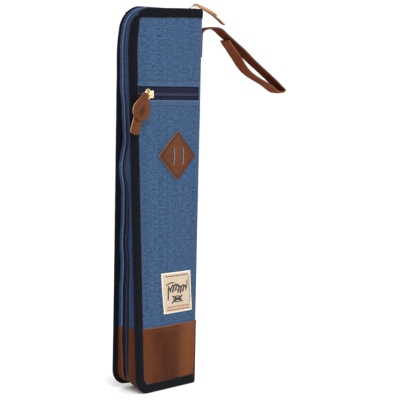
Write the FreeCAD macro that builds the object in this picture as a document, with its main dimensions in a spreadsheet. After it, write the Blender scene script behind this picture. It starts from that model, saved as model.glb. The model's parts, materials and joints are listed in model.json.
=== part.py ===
# Drum stick bag: a slim book-style soft case. Frame: +X to the spine, -Y to the front face, +Z up.
# The origin is on the floor, under the middle of the case, in the plane of the main zip.
import FreeCAD
import Part
import Sketcher
import math
import os
import re

vector = FreeCAD.Vector
doc = FreeCAD.newDocument("DrumStickBag")

# Driving dimensions, in millimetres and degrees.
sizes = {
    "case_height": 470,
    "case_width": 110,
    "depth_bottom": 46,
    "depth_top": 26,
    "corner_top": 28,
    "corner_bottom": 20,
    "binding_width": 10,
    "binding_thickness": 3.6,
    "binding_inner_top": 5,
    "binding_inner_bottom": 9,
    "skin_recess": 0.4,
    "skin_thickness": 1.4,
    "foam_thickness": 2,
    "lining_thickness": 0.6,
    "leather_height": 80,
    "gusset_inset": 6,
    "gusset_thickness": 1.2,
    "zip_mouth": 5.5,
    "tape_thickness": 1,
    "tape_reach": 8.5,
    "coil_split": 0.7,
    "coil_width": 2.2,
    "coil_height": 2.6,
    "layer_clearance": 0.6,
    "fold_gap": 0.4,
    "sleeve_depth": 8,
    "sleeve_top": 250,
    "sleeve_left": 10,
    "sleeve_right": 3,
    "sleeve_bottom": 5,
    "tape_band": 8,
    "inner_pocket_depth": 5.8,
    "inner_pocket_top": 180,
    "pocket_depth_bottom": 10,
    "pocket_depth_top": 4.4,
    "pocket_zip_height": 364,
    "pocket_mouth": 9,
    "pocket_tape_half": 13,
    "zip_stop_length": 2.5,
    "diamond_diagonal": 62,
    "diamond_x": 18,
    "diamond_z": 289,
    "diamond_thickness": 1.6,
    "slot_length": 20,
    "slot_width": 2.4,
    "slot_spacing": 14,
    "label_width": 53,
    "label_height": 50.5,
    "label_x": 18.5,
    "label_z": 120,
    "label_thickness": 0.6,
    "slider_length": 12,
    "slider_half_width": 4.8,
    "slider_clearance": 0.35,
    "slider_plate": 1.2,
    "slider_lip": 1.5,
    "bridge_length": 8,
    "bridge_width": 3,
    "bridge_wall": 1.4,
    "bridge_hole": 2.8,
    "ring_radius": 6,
    "ring_wire": 0.8,
    "main_slider_setback": 12,
    "pocket_slider_setback": 27.5,
    "slider_park_gap": 1.5,
    "pull_width": 24,
    "pull_length": 35,
    "pull_overlap": 4,
    "pull_thickness": 3,
    "pull_clearance": 0.4,
    "pull_radius": 8,
    "tail_width": 12,
    "tail_length": 17,
    "tail_radius": 4,
    "main_pull_droop": 4.5,
    "main_ring_lean": 25,
    "pocket_pull_tilt": 20,
    "strap_width": 18,
    "strap_thickness": 2.2,
    "strap_tab_bottom": 411,
    "strap_tab_top": 442,
}

sheet = doc.addObject("Spreadsheet::Sheet", "Sizes")
for row, (name, value) in enumerate(sizes.items(), start=1):
    sheet.set(f"A{row}", name)
    sheet.set(f"B{row}", str(value))
    sheet.setAlias(f"B{row}", name)
doc.recompute()

# Places worked out from the driving dimensions, as expressions.
left = "-case_width/2"
right = "case_width/2"
spine_thickness = "(skin_thickness + foam_thickness + lining_thickness)"
layer_right = f"({right} - {spine_thickness} - fold_gap)"
main_slider_x = f"({right} - main_slider_setback)"
pocket_slider_x = f"({left} + pocket_slider_setback)"
tape_centre = "(gusset_inset + gusset_thickness + tape_thickness/2)"
slider_reach = "(coil_height/2 + slider_clearance + slider_plate)"
layer_inset = f"({tape_centre} + {slider_reach} + layer_clearance)"
skin_back = "(skin_recess + skin_thickness)"
foam_back = f"({skin_back} + foam_thickness)"
lining_back = f"({foam_back} + lining_thickness)"
spine_start = "(binding_thickness + fold_gap)"
pocket_tape_depth = f"({skin_back} + tape_thickness/2)"


def bound(text):
    """The expression with each size's name led by the sheet's."""
    return re.sub(r"[a-z_]+", lambda found: f"Sizes.{found[0]}" if found[0] in sizes else found[0], text)


def number(text):
    """The value that an expression has now."""
    return float(sheet.evalExpression(bound(text)))


def bind(item, field, text):
    item.setExpression(field, bound(text))


def at_height(bottom, top, height):
    """A size that runs evenly from the floor to the top of the case, at one height."""
    return f"({bottom} + ({top} - {bottom})*({height})/case_height)"


def half_depth(height):
    return f"({at_height('depth_bottom', 'depth_top', height)}/2)"


def new_sketch(body, role, offset="0"):
    """A sketch on one of the body's own origin planes, moved along its normal."""
    sketch = body.newObject("Sketcher::SketchObject", f"{body.Name}_sketch")
    plane = next(item for item in body.Origin.OriginFeatures if item.Role == role)
    sketch.AttachmentSupport = (plane, "")
    sketch.MapMode = "FlatFace"
    bind(sketch, ".AttachmentOffset.Base.z", offset)
    return sketch


def pin_point(sketch, line, end, corner):
    """Ties one end of a line to a pair of expressions."""
    for kind, text in zip(("DistanceX", "DistanceY"), corner):
        index = sketch.addConstraint(Sketcher.Constraint(kind, -1, 1, line, end, number(text)))
        bind(sketch, f"Constraints[{index}]", text)


def toward(corner, neighbour, radius):
    """The point one radius from a corner along a level or upright edge, as expressions."""
    steps = [number(b) - number(a) for a, b in zip(corner[:2], neighbour[:2])]
    signs = ["" if abs(step) < 1e-6 else f" + ({radius})" if step > 0 else f" - ({radius})" for step in steps]
    return tuple(f"({place}){sign}" for place, sign in zip(corner[:2], signs))


def add_outline(sketch, corners):
    """A closed outline; a corner with a third value is rounded to that radius."""
    count = len(corners)
    entries, exits = [], []
    for place, corner in enumerate(corners):
        if len(corner) == 3:
            entries.append(toward(corner, corners[place - 1], corner[2]))
            exits.append(toward(corner, corners[(place + 1) % count], corner[2]))
        else:
            entries.append(corner)
            exits.append(corner)
    point = lambda pair: vector(number(pair[0]), number(pair[1]), 0)
    lines = []
    for place in range(count):
        after = (place + 1) % count
        line = sketch.addGeometry(Part.LineSegment(point(exits[place]), point(entries[after])), False)
        pin_point(sketch, line, 1, exits[place])
        if len(corners[after]) == 3:
            pin_point(sketch, line, 2, entries[after])
        lines.append(line)
    for place, corner in enumerate(corners):
        before, after = lines[place - 1], lines[place]
        if len(corner) == 2:
            sketch.addConstraint(Sketcher.Constraint("Coincident", before, 2, after, 1))
            continue
        start, finish = point(entries[place]), point(exits[place])
        centre = start + finish - point(corner)
        turns_left = (start - centre).cross(finish - centre).z > 0
        ends = (start, finish) if turns_left else (finish, start)
        angles = [math.atan2(end.y - centre.y, end.x - centre.x) for end in ends]
        circle = Part.Circle(centre, vector(0, 0, 1), number(corner[2]))
        arc = sketch.addGeometry(Part.ArcOfCircle(circle, angles[0], angles[1]), False)
        first, second = (1, 2) if turns_left else (2, 1)
        sketch.addConstraint(Sketcher.Constraint("Coincident", before, 2, arc, first))
        sketch.addConstraint(Sketcher.Constraint("Coincident", after, 1, arc, second))
        index = sketch.addConstraint(Sketcher.Constraint("Radius", arc, number(corner[2])))
        bind(sketch, f"Constraints[{index}]", corner[2])


def box_corners(x_low, x_high, z_low, z_high):
    return [(x_low, z_low), (x_high, z_low), (x_high, z_high), (x_low, z_high)]


def add_pad(body, sketch, length, symmetric=False):
    pad = body.newObject("PartDesign::Pad", f"{body.Name}_pad")
    pad.Profile = sketch
    pad.SideType = "Symmetric" if symmetric else "One side"
    bind(pad, "Length", length)
    body.Tip = pad
    return pad


def prism(name, role, outlines, length, offset="0", symmetric=False):
    """A body padded from one sketch that holds one or more outlines."""
    body = doc.addObject("PartDesign::Body", name)
    sketch = new_sketch(body, role, offset)
    for corners in outlines:
        add_outline(sketch, corners)
    add_pad(body, sketch, length, symmetric)
    return body


def label(item, name):
    item.Label = name
    nodes.append(item)
    return item


def common(name, first, second):
    """What two solids share, as a sub-part."""
    both = doc.addObject("Part::Common", f"{name}_shared")
    both.Base = first
    both.Tool = second
    return both


nodes = []


# A face that runs the height of the case is given by its distance from the zip plane, low and high.
def skin_face(low, high=None):
    """A face parallel to an outer face, this deep inside it."""
    return f"depth_bottom/2 - ({low})", f"depth_top/2 - ({high or low})"


def level_face(distance):
    return distance, distance


def slab(name, side, outer, inner):
    """The space between two such faces, on the back (+1) or front (-1) side."""
    sign = "" if side > 0 else "-"
    corners = [(f"{sign}({outer[0]})", "0"), (f"{sign}({outer[1]})", "case_height"),
               (f"{sign}({inner[1]})", "case_height"), (f"{sign}({inner[0]})", "0")]
    return prism(name, "YZ_Plane", [corners], "4*case_width", symmetric=True)


def layer(name, side, outer, inner, outlines):
    """A sheet with this outline, seen from the front, between two faces."""
    blank = prism(f"{name}_blank", "XZ_Plane", outlines, "2*depth_bottom", symmetric=True)
    return common(name, blank, slab(f"{name}_slab", side, outer, inner))


def radius_at(corner, inset):
    return f"max({corner} - ({inset}); 0.5)"


def wrap_outline(near, far, end, low="all"):
    """A band that follows the top, left and bottom edges between two insets.

    low picks the whole band, only the part above the leather, or only the part below its top.
    """
    top_far, bottom_far = radius_at("corner_top", far), radius_at("corner_bottom", far)
    if near == "0" and far == "binding_width":
        top_far, bottom_far = "binding_inner_top", "binding_inner_bottom"
    upper = [(f"{left} + ({near})", f"case_height - ({near})", radius_at("corner_top", near)),
             (end, f"case_height - ({near})"),
             (end, f"case_height - ({far})"),
             (f"{left} + ({far})", f"case_height - ({far})", top_far)]
    lower = [(f"{left} + ({far})", f"{far}", bottom_far),
             (end, f"{far}"),
             (end, f"{near}"),
             (f"{left} + ({near})", f"{near}", radius_at("corner_bottom", near))]
    if low == "above":
        return upper + [(f"{left} + ({far})", "leather_height"), (f"{left} + ({near})", "leather_height")]
    if low == "below":
        return lower + [(f"{left} + ({near})", "leather_height"), (f"{left} + ({far})", "leather_height")]
    return upper + lower


# Sheets that make each half of the case: skin, foam, lining, edge binding, gusset, zip tape and coil.
def skin_outline(low, high):
    return box_corners(f"{left} + binding_width", right, low, high)


def rounded_skin(low, high, rounds):
    """The skin's outline, with its corners on the bound side rounded where it meets the binding."""
    corners = skin_outline(low, high)
    if "low" in rounds:
        corners[0] = corners[0] + ("binding_inner_bottom",)
    if "high" in rounds:
        corners[3] = corners[3] + ("binding_inner_top",)
    return corners


def inner_outline():
    """The outline of the layers inside the case."""
    low, high = layer_inset, f"case_height - {layer_inset}"
    corners = box_corners(f"{left} + {layer_inset}", layer_right, low, high)
    corners[0] = corners[0] + (radius_at("corner_bottom", layer_inset),)
    corners[3] = corners[3] + (radius_at("corner_top", layer_inset),)
    return corners


def build_half(name, side, front_end_of_coil):
    outer_skin = (skin_face("skin_recess"), skin_face(skin_back))
    wall = (skin_face("binding_thickness"), level_face("zip_mouth"))
    tape = (level_face("tape_reach"), level_face("coil_split + coil_width"))
    coil = (level_face("coil_split + coil_width"), level_face("coil_split"))
    wall_end = "gusset_inset + gusset_thickness"
    label(layer(f"{name}_binding", side, skin_face("0"), skin_face("binding_thickness"),
                [wrap_outline("0", "binding_width", right)]), f"{name}_binding")
    for piece, part in (("denim", "above"), ("leather", "below")):
        label(layer(f"{name}_gusset_{piece}", side, *wall,
                    [wrap_outline("gusset_inset", wall_end, layer_right, part)]), f"{name}_gusset_{piece}")
    label(layer(f"main_tape_{name}", side, *tape,
                [wrap_outline(wall_end, f"{wall_end} + tape_thickness", layer_right)]), f"main_tape_{name}")
    near, far = f"{tape_centre} - coil_height/2", f"{tape_centre} + coil_height/2"
    band = wrap_outline(near, far, layer_right)
    band[1] = (front_end_of_coil, band[1][1])
    band[2] = (front_end_of_coil, band[2][1])
    label(layer(f"main_coil_{name}", side, *coil, [band]), f"main_coil_{name}")
    return outer_skin


# Back half.
skin = build_half("back", 1, layer_right)
label(layer("back_panel_denim", 1, *skin,
            [rounded_skin("leather_height", "case_height - binding_width", ["high"])]), "back_panel_denim")
label(layer("back_panel_leather", 1, *skin,
            [rounded_skin("binding_width", "leather_height", ["low"])]), "back_panel_leather")
label(layer("back_foam", 1, skin_face(skin_back), skin_face(foam_back), [inner_outline()]), "back_foam")
label(layer("back_lining", 1, skin_face(foam_back), skin_face(lining_back), [inner_outline()]), "back_lining")


def pouch(name, side, low, high, depth, top):
    """A flat pouch on the lining, open at the top, with sewn sides and bottom."""
    x_low, x_high = f"{left} + {layer_inset} + sleeve_left", f"{layer_right} - sleeve_right"
    z_low = f"{layer_inset} + sleeve_bottom"
    wall = "lining_thickness"
    face = (f"{low} + {depth}", f"{high} + {depth}")
    outside = layer(f"{name}_outside", side, skin_face(low, high),
                    skin_face(f"{face[0]} + {wall}", f"{face[1]} + {wall}"),
                    [box_corners(x_low, x_high, z_low, top)])
    inside = layer(f"{name}_inside", side, skin_face(low, high), skin_face(*face),
                   [box_corners(f"{x_low} + {wall}", f"{x_high} - {wall}", f"{z_low} + {wall}", f"{top} + {wall}")])
    cut = doc.addObject("Part::Cut", f"{name}_cut")
    cut.Base = outside
    cut.Tool = inside
    label(cut, name)
    label(layer(f"{name}_edge", side, skin_face(f"{face[0]} + {wall}", f"{face[1]} + {wall}"),
                skin_face(f"{face[0]} + 2*{wall}", f"{face[1]} + 2*{wall}"),
                [box_corners(x_low, x_high, f"{top} - tape_band", top)]), f"{name}_edge")


pouch("stick_sleeve", 1, lining_back, lining_back, "sleeve_depth", "sleeve_top")

# Front half, with its zipped pocket between the outer panel and a rear wall that slopes with the belly.
coil_end = f"{main_slider_x} - slider_length/2 - slider_park_gap"
skin = build_half("front", -1, coil_end)
mouth_low, mouth_high = "pocket_zip_height - pocket_mouth", "pocket_zip_height + pocket_mouth"
label(layer("front_panel_denim", -1, *skin,
            [rounded_skin(mouth_high, "case_height - binding_width", ["high"])]), "front_panel_denim")
label(layer("pocket_panel_denim", -1, *skin, [skin_outline("leather_height", mouth_low)]), "pocket_panel_denim")
label(layer("pocket_panel_leather", -1, *skin,
            [rounded_skin("binding_width", "leather_height", ["low"])]), "pocket_panel_leather")
depth = 0
deep = [f"({skin_back} + pocket_depth_bottom)", f"({skin_back} + pocket_depth_top)"]
for name, thickness in (("pocket_rear_wall", "lining_thickness"), ("front_foam", "foam_thickness"),
                        ("front_lining", "lining_thickness")):
    deeper = [f"({face} + {thickness})" for face in deep]
    label(layer(name, -1, skin_face(*deep), skin_face(*deeper), [inner_outline()]), name)
    deep = deeper
pouch("inner_pocket", -1, *deep, "inner_pocket_depth", "inner_pocket_top")

# Pocket zip: two tapes behind the mouth, their coils, and a stop at each end.
tape_faces = (skin_face(skin_back), skin_face(f"{skin_back} + tape_thickness"))
coil_faces = (skin_face(f"{pocket_tape_depth} - coil_height/2"), skin_face(f"{pocket_tape_depth} + coil_height/2"))
coil_left, coil_right = f"{left} + binding_width + zip_stop_length", f"{layer_right} - zip_stop_length"
for name, sign in (("upper", "+"), ("lower", "-")):
    edge, root, back = (f"pocket_zip_height {sign} ({place})" for place in
                        ("coil_split", "coil_split + coil_width", "pocket_tape_half"))
    label(layer(f"pocket_tape_{name}", -1, *tape_faces,
                [box_corners(f"{left} + {layer_inset}", layer_right, *sorted((root, back), key=number))]),
          f"pocket_tape_{name}")
    label(layer(f"pocket_coil_{name}", -1, *coil_faces,
                [box_corners(coil_left, coil_right, *sorted((edge, root), key=number))]), f"pocket_coil_{name}")
stops = []
for name, low, high in (("left", f"{left} + binding_width", coil_left), ("right", coil_right, layer_right)):
    stops.append(layer(f"stop_{name}", -1, *coil_faces,
                       [box_corners(low, high, "pocket_zip_height - coil_split - coil_width",
                                    "pocket_zip_height + coil_split + coil_width")]))
group = doc.addObject("Part::Compound", "pocket_zip_stops_group")
group.Links = stops
label(group, "pocket_zip_stops")

# Lash tab: a leather square set on its corner, with two slots. The label below it is sewn flat.
half = "diamond_diagonal/2"
diamond = [("diamond_x", f"diamond_z - {half}"), (f"diamond_x + {half}", "diamond_z"),
           ("diamond_x", f"diamond_z + {half}"), (f"diamond_x - {half}", "diamond_z")]
slots = [box_corners(f"diamond_x + {side}*slot_spacing/2 - slot_width/2",
                     f"diamond_x + {side}*slot_spacing/2 + slot_width/2",
                     "diamond_z - slot_length/2", "diamond_z + slot_length/2") for side in (-1, 1)]
label(layer("lash_tab", -1, skin_face("skin_recess - diamond_thickness"), skin_face("skin_recess"),
            [diamond] + slots), "lash_tab")
label(layer("front_label", -1, skin_face("skin_recess - label_thickness"), skin_face("skin_recess"),
            [box_corners("label_x - label_width/2", "label_x + label_width/2",
                         "label_z - label_height/2", "label_z + label_height/2")]), "front_label")


# Spine: the flat side between the two fold lines.
def spine_piece(name, depth_low, thickness, low, high):
    """A layer of the spine, this deep inside its outer face, between two heights."""
    reach = [f"{half_depth(height)} - {spine_start}" for height in (low, high)]
    corners = [(f"-({reach[0]})", low), (reach[0], low), (reach[1], high), (f"-({reach[1]})", high)]
    return prism(name, "YZ_Plane", [corners], thickness, f"{right} - ({depth_low}) - ({thickness})")


inside_low, inside_high = "binding_width", "case_height - binding_width"
label(spine_piece("spine_denim", "0", "skin_thickness", "leather_height", inside_high), "spine_denim")
label(spine_piece("spine_leather", "0", "skin_thickness", inside_low, "leather_height"), "spine_leather")
label(spine_piece("spine_foam", "skin_thickness", "foam_thickness", inside_low, inside_high), "spine_foam")
label(spine_piece("spine_lining", "skin_thickness + foam_thickness", "lining_thickness",
                  inside_low, inside_high), "spine_lining")
group = doc.addObject("Part::Compound", "spine_binding_group")
group.Links = [spine_piece("spine_binding_low", "0", spine_thickness, "0", inside_low),
               spine_piece("spine_binding_high", "0", spine_thickness, inside_high, "case_height")]
label(group, "spine_binding")

# Hand strap: a flat tab sewn to the spine, and a loop that arches out of it and droops.
label(prism("strap_tab", "YZ_Plane", [box_corners("-strap_width/2", "strap_width/2",
                                                  "strap_tab_bottom", "strap_tab_top")],
            "strap_thickness", right), "strap_tab")
strap_root = vector(number(right) + 2.6, 0, number("strap_tab_top") + 1.8)
strap_route = [(0, 0), (8, 2.6), (16, 4.2), (24, 4), (32, 1.2), (40, -4.4), (67.5, -20), (91.5, -37.5),
               (110.5, -48.5), (130, -59.5), (142.5, -66.5), (147.2, -70.6), (143, -74), (135, -71.8),
               (118.5, -62.2), (99.5, -53.3), (82.4, -45.2), (73.5, -38), (66.5, -30), (57.5, -21.5),
               (48.5, -15.5), (44.8, -10.8)]
strap_facets = 84


def strap_side(curve, distance):
    """Points at one distance to the side of a line that lies in the plane of the case's width."""
    points = []
    for step in range(strap_facets + 1):
        place_on = curve.FirstParameter + (curve.LastParameter - curve.FirstParameter) * step / strap_facets
        along = curve.tangent(place_on)[0]
        points.append(curve.value(place_on) + vector(-along.z, 0, along.x) * distance)
    return points


strap_line = Part.BSplineCurve()
strap_line.interpolate([strap_root + vector(x, 0, z) for x, z in strap_route])
half_strap = number("strap_thickness/2")
edge = strap_side(strap_line, half_strap) + strap_side(strap_line, -half_strap)[::-1]
band = Part.Face(Part.makePolygon(edge + edge[:1])).extrude(vector(0, number("strap_width"), 0))
band.translate(vector(0, -number("strap_width/2"), 0))
strap = doc.addObject("Part::Feature", "strap_loop")
strap.Shape = band
label(strap, "strap_loop")


# Zip sliders and their pulls, each in a frame of its own: x along the zip, y across it, z outwards.
def slider_section():
    """The closed outline of a slider: two plates, lips that hold the tapes, and the web between the coils."""
    web = "(coil_split - slider_clearance)"
    inner = "(coil_height/2 + slider_clearance)"
    slot = "(tape_thickness/2 + slider_clearance)"
    lip = "(slider_half_width - slider_lip)"
    quarter = [("slider_half_width", slider_reach), ("slider_half_width", slot), (lip, slot), (lip, inner),
               (web, inner)]
    right_side = quarter + [(y, f"-{z}") for y, z in reversed(quarter)]
    return right_side + [(f"-{y}", z) for y, z in reversed(right_side)]


def slider(name):
    body = prism(name, "YZ_Plane", [slider_section()], "slider_length", symmetric=True)
    sketch = new_sketch(body, "XZ_Plane")
    top = f"({slider_reach} + bridge_hole + bridge_wall)"
    hole_top = f"({slider_reach} + bridge_hole)"
    foot = "bridge_length/2"
    add_outline(sketch, [(f"-{foot}", slider_reach), (f"-{foot}", top, "bridge_wall"), (foot, top, "bridge_wall"),
                         (foot, slider_reach), (f"{foot} - bridge_wall", slider_reach),
                         (f"{foot} - bridge_wall", hole_top), (f"-{foot} + bridge_wall", hole_top),
                         (f"-{foot} + bridge_wall", slider_reach)])
    add_pad(body, sketch, "bridge_width", True)
    return label(body, name)


def ring(name):
    torus = doc.addObject("Part::Torus", name)
    bind(torus, "Radius1", "ring_radius")
    bind(torus, "Radius2", "ring_wire")
    return label(torus, name)


def pull(name):
    """A leather pull that hangs along -y from the ring's wire: a broad head and a narrower tail."""
    head, tail = "pull_width/2", "tail_width/2"
    neck, tip = "pull_overlap - pull_length", "pull_overlap - pull_length - tail_length"
    corners = [(f"-{head}", "pull_overlap", "pull_radius"), (f"-{head}", neck, "pull_radius"), (f"-{tail}", neck),
               (f"-{tail}", tip, "tail_radius"), (tail, tip, "tail_radius"), (tail, neck),
               (head, neck, "pull_radius"), (head, "pull_overlap", "pull_radius")]
    body = prism(name, "XY_Plane", [corners], "pull_thickness", symmetric=True)
    return label(body, name)


hinge_height = number(f"{slider_reach} + bridge_hole/2")
lean = math.degrees(math.atan2(number("depth_bottom - depth_top") / 2, number("case_height")))


def place(item, frame, offset, turn=FreeCAD.Rotation()):
    """Puts a piece at an offset inside a slider's frame."""
    item.Placement = frame.multiply(FreeCAD.Placement(offset, turn))


# Main slider, parked at the top by the spine, with its ring leaning out and its pull lying over the spine.
main_frame = FreeCAD.Placement(vector(number(main_slider_x), 0, number(f"case_height - {tape_centre}")),
                               FreeCAD.Rotation())
place(slider("main_slider"), main_frame, vector(0, 0, 0))
main_lean = math.radians(number("main_ring_lean"))
ring_way = vector(math.sin(main_lean), 0, math.cos(main_lean)) * number("ring_radius")
place(ring("main_ring"), main_frame, vector(0, 0, hinge_height) + ring_way,
      FreeCAD.Rotation(vector(0, 1, 0), 90 + number("main_ring_lean")))
droop = math.radians(number("main_pull_droop"))
pull_turn = FreeCAD.Rotation(vector(0, 1, 0), vector(-math.cos(droop), 0, math.sin(droop)),
                             vector(math.sin(droop), 0, math.cos(droop)), "ZXY")
place(pull("main_pull"), main_frame, vector(0, 0, hinge_height) + ring_way * 2, pull_turn)

# Pocket slider, parked at the left end. Its ring leans out far enough for the pull to clear the bridge.
zip_z = number("pocket_zip_height")
zip_y = -number(f"{half_depth('pocket_zip_height')} - {pocket_tape_depth}")
pocket_frame = FreeCAD.Placement(vector(number(pocket_slider_x), zip_y, zip_z),
                                 FreeCAD.Rotation(vector(1, 0, 0), 90 - lean))
place(slider("pocket_slider"), pocket_frame, vector(0, 0, 0))
pull_height = number(f"{slider_reach} + bridge_hole + bridge_wall + pull_clearance + pull_thickness/2")
ring_lean = math.asin((pull_height - hinge_height) / number("2*ring_radius"))
across, outward = (number("ring_radius") * share for share in (math.cos(ring_lean), math.sin(ring_lean)))
place(ring("pocket_ring"), pocket_frame, vector(-across, 0, hinge_height + outward),
      FreeCAD.Rotation(vector(0, 1, 0), math.degrees(ring_lean)))
place(pull("pocket_pull"), pocket_frame, vector(-2 * across, 0, pull_height),
      FreeCAD.Rotation(vector(0, 0, 1), -number("pocket_pull_tilt")))

doc.recompute()
for item in doc.Objects:
    bad = [state for state in item.State if state in ("Invalid", "Error")]
    if bad:
        raise RuntimeError(f"{item.Name} did not rebuild: {bad}")
os.makedirs("parts", exist_ok=True)
for item in nodes:
    shape = item.Shape
    if shape.isNull() or not shape.isValid() or not shape.Solids:
        raise RuntimeError(f"{item.Label} has no valid solid")
    shape.exportStep(f"parts/{item.Label}.step")
print(len(nodes), "sub-parts written")
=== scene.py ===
import json
import math

import bmesh
import bpy
from mathutils import Matrix, Vector, noise


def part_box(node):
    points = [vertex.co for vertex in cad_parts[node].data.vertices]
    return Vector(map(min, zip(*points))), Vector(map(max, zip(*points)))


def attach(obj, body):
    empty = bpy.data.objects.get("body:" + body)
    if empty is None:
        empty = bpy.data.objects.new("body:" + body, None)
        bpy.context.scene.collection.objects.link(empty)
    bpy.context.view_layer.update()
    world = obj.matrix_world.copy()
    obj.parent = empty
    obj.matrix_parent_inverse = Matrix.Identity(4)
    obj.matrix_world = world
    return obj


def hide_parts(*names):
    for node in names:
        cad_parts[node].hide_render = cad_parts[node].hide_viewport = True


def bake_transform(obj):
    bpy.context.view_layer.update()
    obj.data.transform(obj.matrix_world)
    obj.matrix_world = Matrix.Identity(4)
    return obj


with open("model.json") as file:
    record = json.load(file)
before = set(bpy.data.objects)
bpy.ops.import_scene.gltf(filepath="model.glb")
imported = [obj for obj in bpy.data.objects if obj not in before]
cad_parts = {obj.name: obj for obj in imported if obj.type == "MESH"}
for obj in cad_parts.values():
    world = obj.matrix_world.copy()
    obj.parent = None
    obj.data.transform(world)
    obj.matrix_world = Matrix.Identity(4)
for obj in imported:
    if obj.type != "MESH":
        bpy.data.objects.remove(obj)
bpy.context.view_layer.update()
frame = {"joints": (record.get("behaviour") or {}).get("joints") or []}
mm = 0.001
print("frame loaded")

# The case as the frame has it, and how the soft case really stands: a little twisted and wider at the top.
joints = {joint["name"]: joint for joint in frame["joints"]}
foldAt = Vector(joints["spine_fold"]["pos_m"])
foldAxis = Vector(joints["spine_fold"]["axis"])
backLow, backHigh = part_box("back_binding")
case = {
    "left": backLow.x,
    "right": backHigh.x,
    "height": backHigh.z,
    "cornerTop": 28 * mm,
    "cornerBottom": 20 * mm,
    "leather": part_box("back_panel_leather")[1].z,
    "foldRadius": 4.5 * mm,
    "skinDepth": 0.5 * mm,
    "skinThickness": 1.4 * mm,
    "twist": math.radians(6),
    "spread": 0.03,
    "ease": 0.977,
    "shift": 1.6 * mm,
    "bound": 13.0 * mm,
    "under": 7.5 * mm,
    "sag": 3.8 * mm,
    "lift": 6 * mm,
    "round": 5.5 * mm,
}
middle = case["height"] / 2
halves = ((-1, "front"), (1, "back"))
edgeLength = 0.66
mergeDistance = 0.005 * mm


def halfDepth(z):
    return foldAt.y + foldAxis.y / foldAxis.z * z


def blendTable(table, at):
    # Runs smoothly through a few pairs of place and value.
    if at <= table[0][0]:
        return table[0][1]
    for (low, first), (high, second) in zip(table, table[1:]):
        if at <= high:
            share = (at - low) / (high - low)
            share = share * share * (3 - 2 * share)
            return first + (second - first) * share
    return table[-1][1]


def ramp(share):
    share = min(max(share, 0), 1)
    return share * share * (3 - 2 * share)


def hump(value, centre, width):
    # A soft bump, 1 at the centre.
    return math.exp(-((value - centre) / width) ** 2)


def noiseAt(*place):
    return noise.noise(Vector(place))


def settle(point):
    share = (point[2] - middle) / middle
    turn = Matrix.Rotation(-case["twist"] * share, 3, "Z")
    drop = ramp((case["right"] - point[0]) / (110 * mm)) * ramp((8 * mm - point[1]) / (24 * mm))
    drop *= ramp((point[2] - 330 * mm) / (140 * mm)) * case["sag"]
    rise = ramp((30 * mm - point[0]) / (85 * mm)) * ramp((point[1] + 8 * mm) / (24 * mm))
    rise *= ramp((70 * mm - point[2]) / (70 * mm)) * case["lift"]
    inward = ramp((point[2] - 415 * mm) / (55 * mm)) * ramp((15 * mm
        - point[0]) / (70 * mm)) * case["round"]
    x = point[0] * (case["ease"] + case["spread"] * share) + case["shift"] + inward
    return turn @ Vector((x, point[1], point[2] - drop + rise))


def settleRigid(anchor):
    # The same settling for a hard piece, which moves and turns without changing shape.
    share = (anchor[2] - middle) / middle
    turn = Matrix.Rotation(-case["twist"] * share, 4, "Z")
    return Matrix.Translation(settle(anchor)) @ turn @ Matrix.Translation(-Vector(anchor))


# Camera.
view = {
    "at": Vector((-0.9953, -1.1707, 0.3665)),
    "aim": Vector((0.0397, -0.0363, 0.2347)),
    "roll": math.radians(1.142),
    "lens": 112.36,
}
ahead = (view["aim"] - view["at"]).normalized()
across = ahead.cross(Vector((0, 0, 1))).normalized()
above = across.cross(ahead)
cosRoll, sinRoll = math.cos(view["roll"]), math.sin(view["roll"])
across, above = across * cosRoll + above * sinRoll, above * cosRoll - across * sinRoll
cameraData = bpy.data.cameras.new("camera")
cameraData.lens = view["lens"]
cameraData.sensor_width = 36
cameraData.clip_end = 30
camera = bpy.data.objects.new("camera", cameraData)
camera.matrix_world = Matrix.Translation(view["at"]) @ Matrix((across, above, -ahead)).transposed().to_4x4()
bpy.context.scene.collection.objects.link(camera)
bpy.context.scene.camera = camera


# Materials.
def tone(red, green, blue):
    # A colour from its 0 to 255 screen values.
    return tuple(((c / 255 + 0.055) / 1.055) ** 2.4 if c > 10 else c / 3294.6
        for c in (red, green, blue)) + (1,)


def join(tree, source, target):
    if isinstance(source, bpy.types.NodeSocket):
        tree.links.new(source, target)
    else:
        target.default_value = source


def calc(tree, operation, *values):
    node = tree.nodes.new("ShaderNodeMath")
    node.operation = operation
    for value, socket in zip(values, node.inputs):
        join(tree, value, socket)
    return node.outputs[0]


def times(tree, first, second):
    return calc(tree, "MULTIPLY", first, second)


def plus(tree, first, second):
    return calc(tree, "ADD", first, second)


def mixColour(tree, factor, first, second, kind="MIX"):
    node = tree.nodes.new("ShaderNodeMix")
    node.data_type = "RGBA"
    node.blend_type = kind
    join(tree, factor, node.inputs[0])
    join(tree, first, node.inputs[6])
    join(tree, second, node.inputs[7])
    return node.outputs[2]


def scaled(tree, vector, x, y, z=1.0):
    node = tree.nodes.new("ShaderNodeVectorMath")
    node.operation = "MULTIPLY"
    join(tree, vector, node.inputs[0])
    node.inputs[1].default_value = (x, y, z)
    return node.outputs[0]


def noiseOf(tree, vector, scale, detail=2.0, roughness=0.5, distortion=0.0):
    node = tree.nodes.new("ShaderNodeTexNoise")
    tree.links.new(vector, node.inputs["Vector"])
    node.inputs["Scale"].default_value = scale
    node.inputs["Detail"].default_value = detail
    node.inputs["Roughness"].default_value = roughness
    node.inputs["Distortion"].default_value = distortion
    return node.outputs[0]


def spread(tree, value, low, high, toLow=0.0, toHigh=1.0):
    node = tree.nodes.new("ShaderNodeMapRange")
    join(tree, value, node.inputs[0])
    for place, number in enumerate((low, high, toLow, toHigh), start=1):
        node.inputs[place].default_value = number
    return node.outputs[0]


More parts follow.
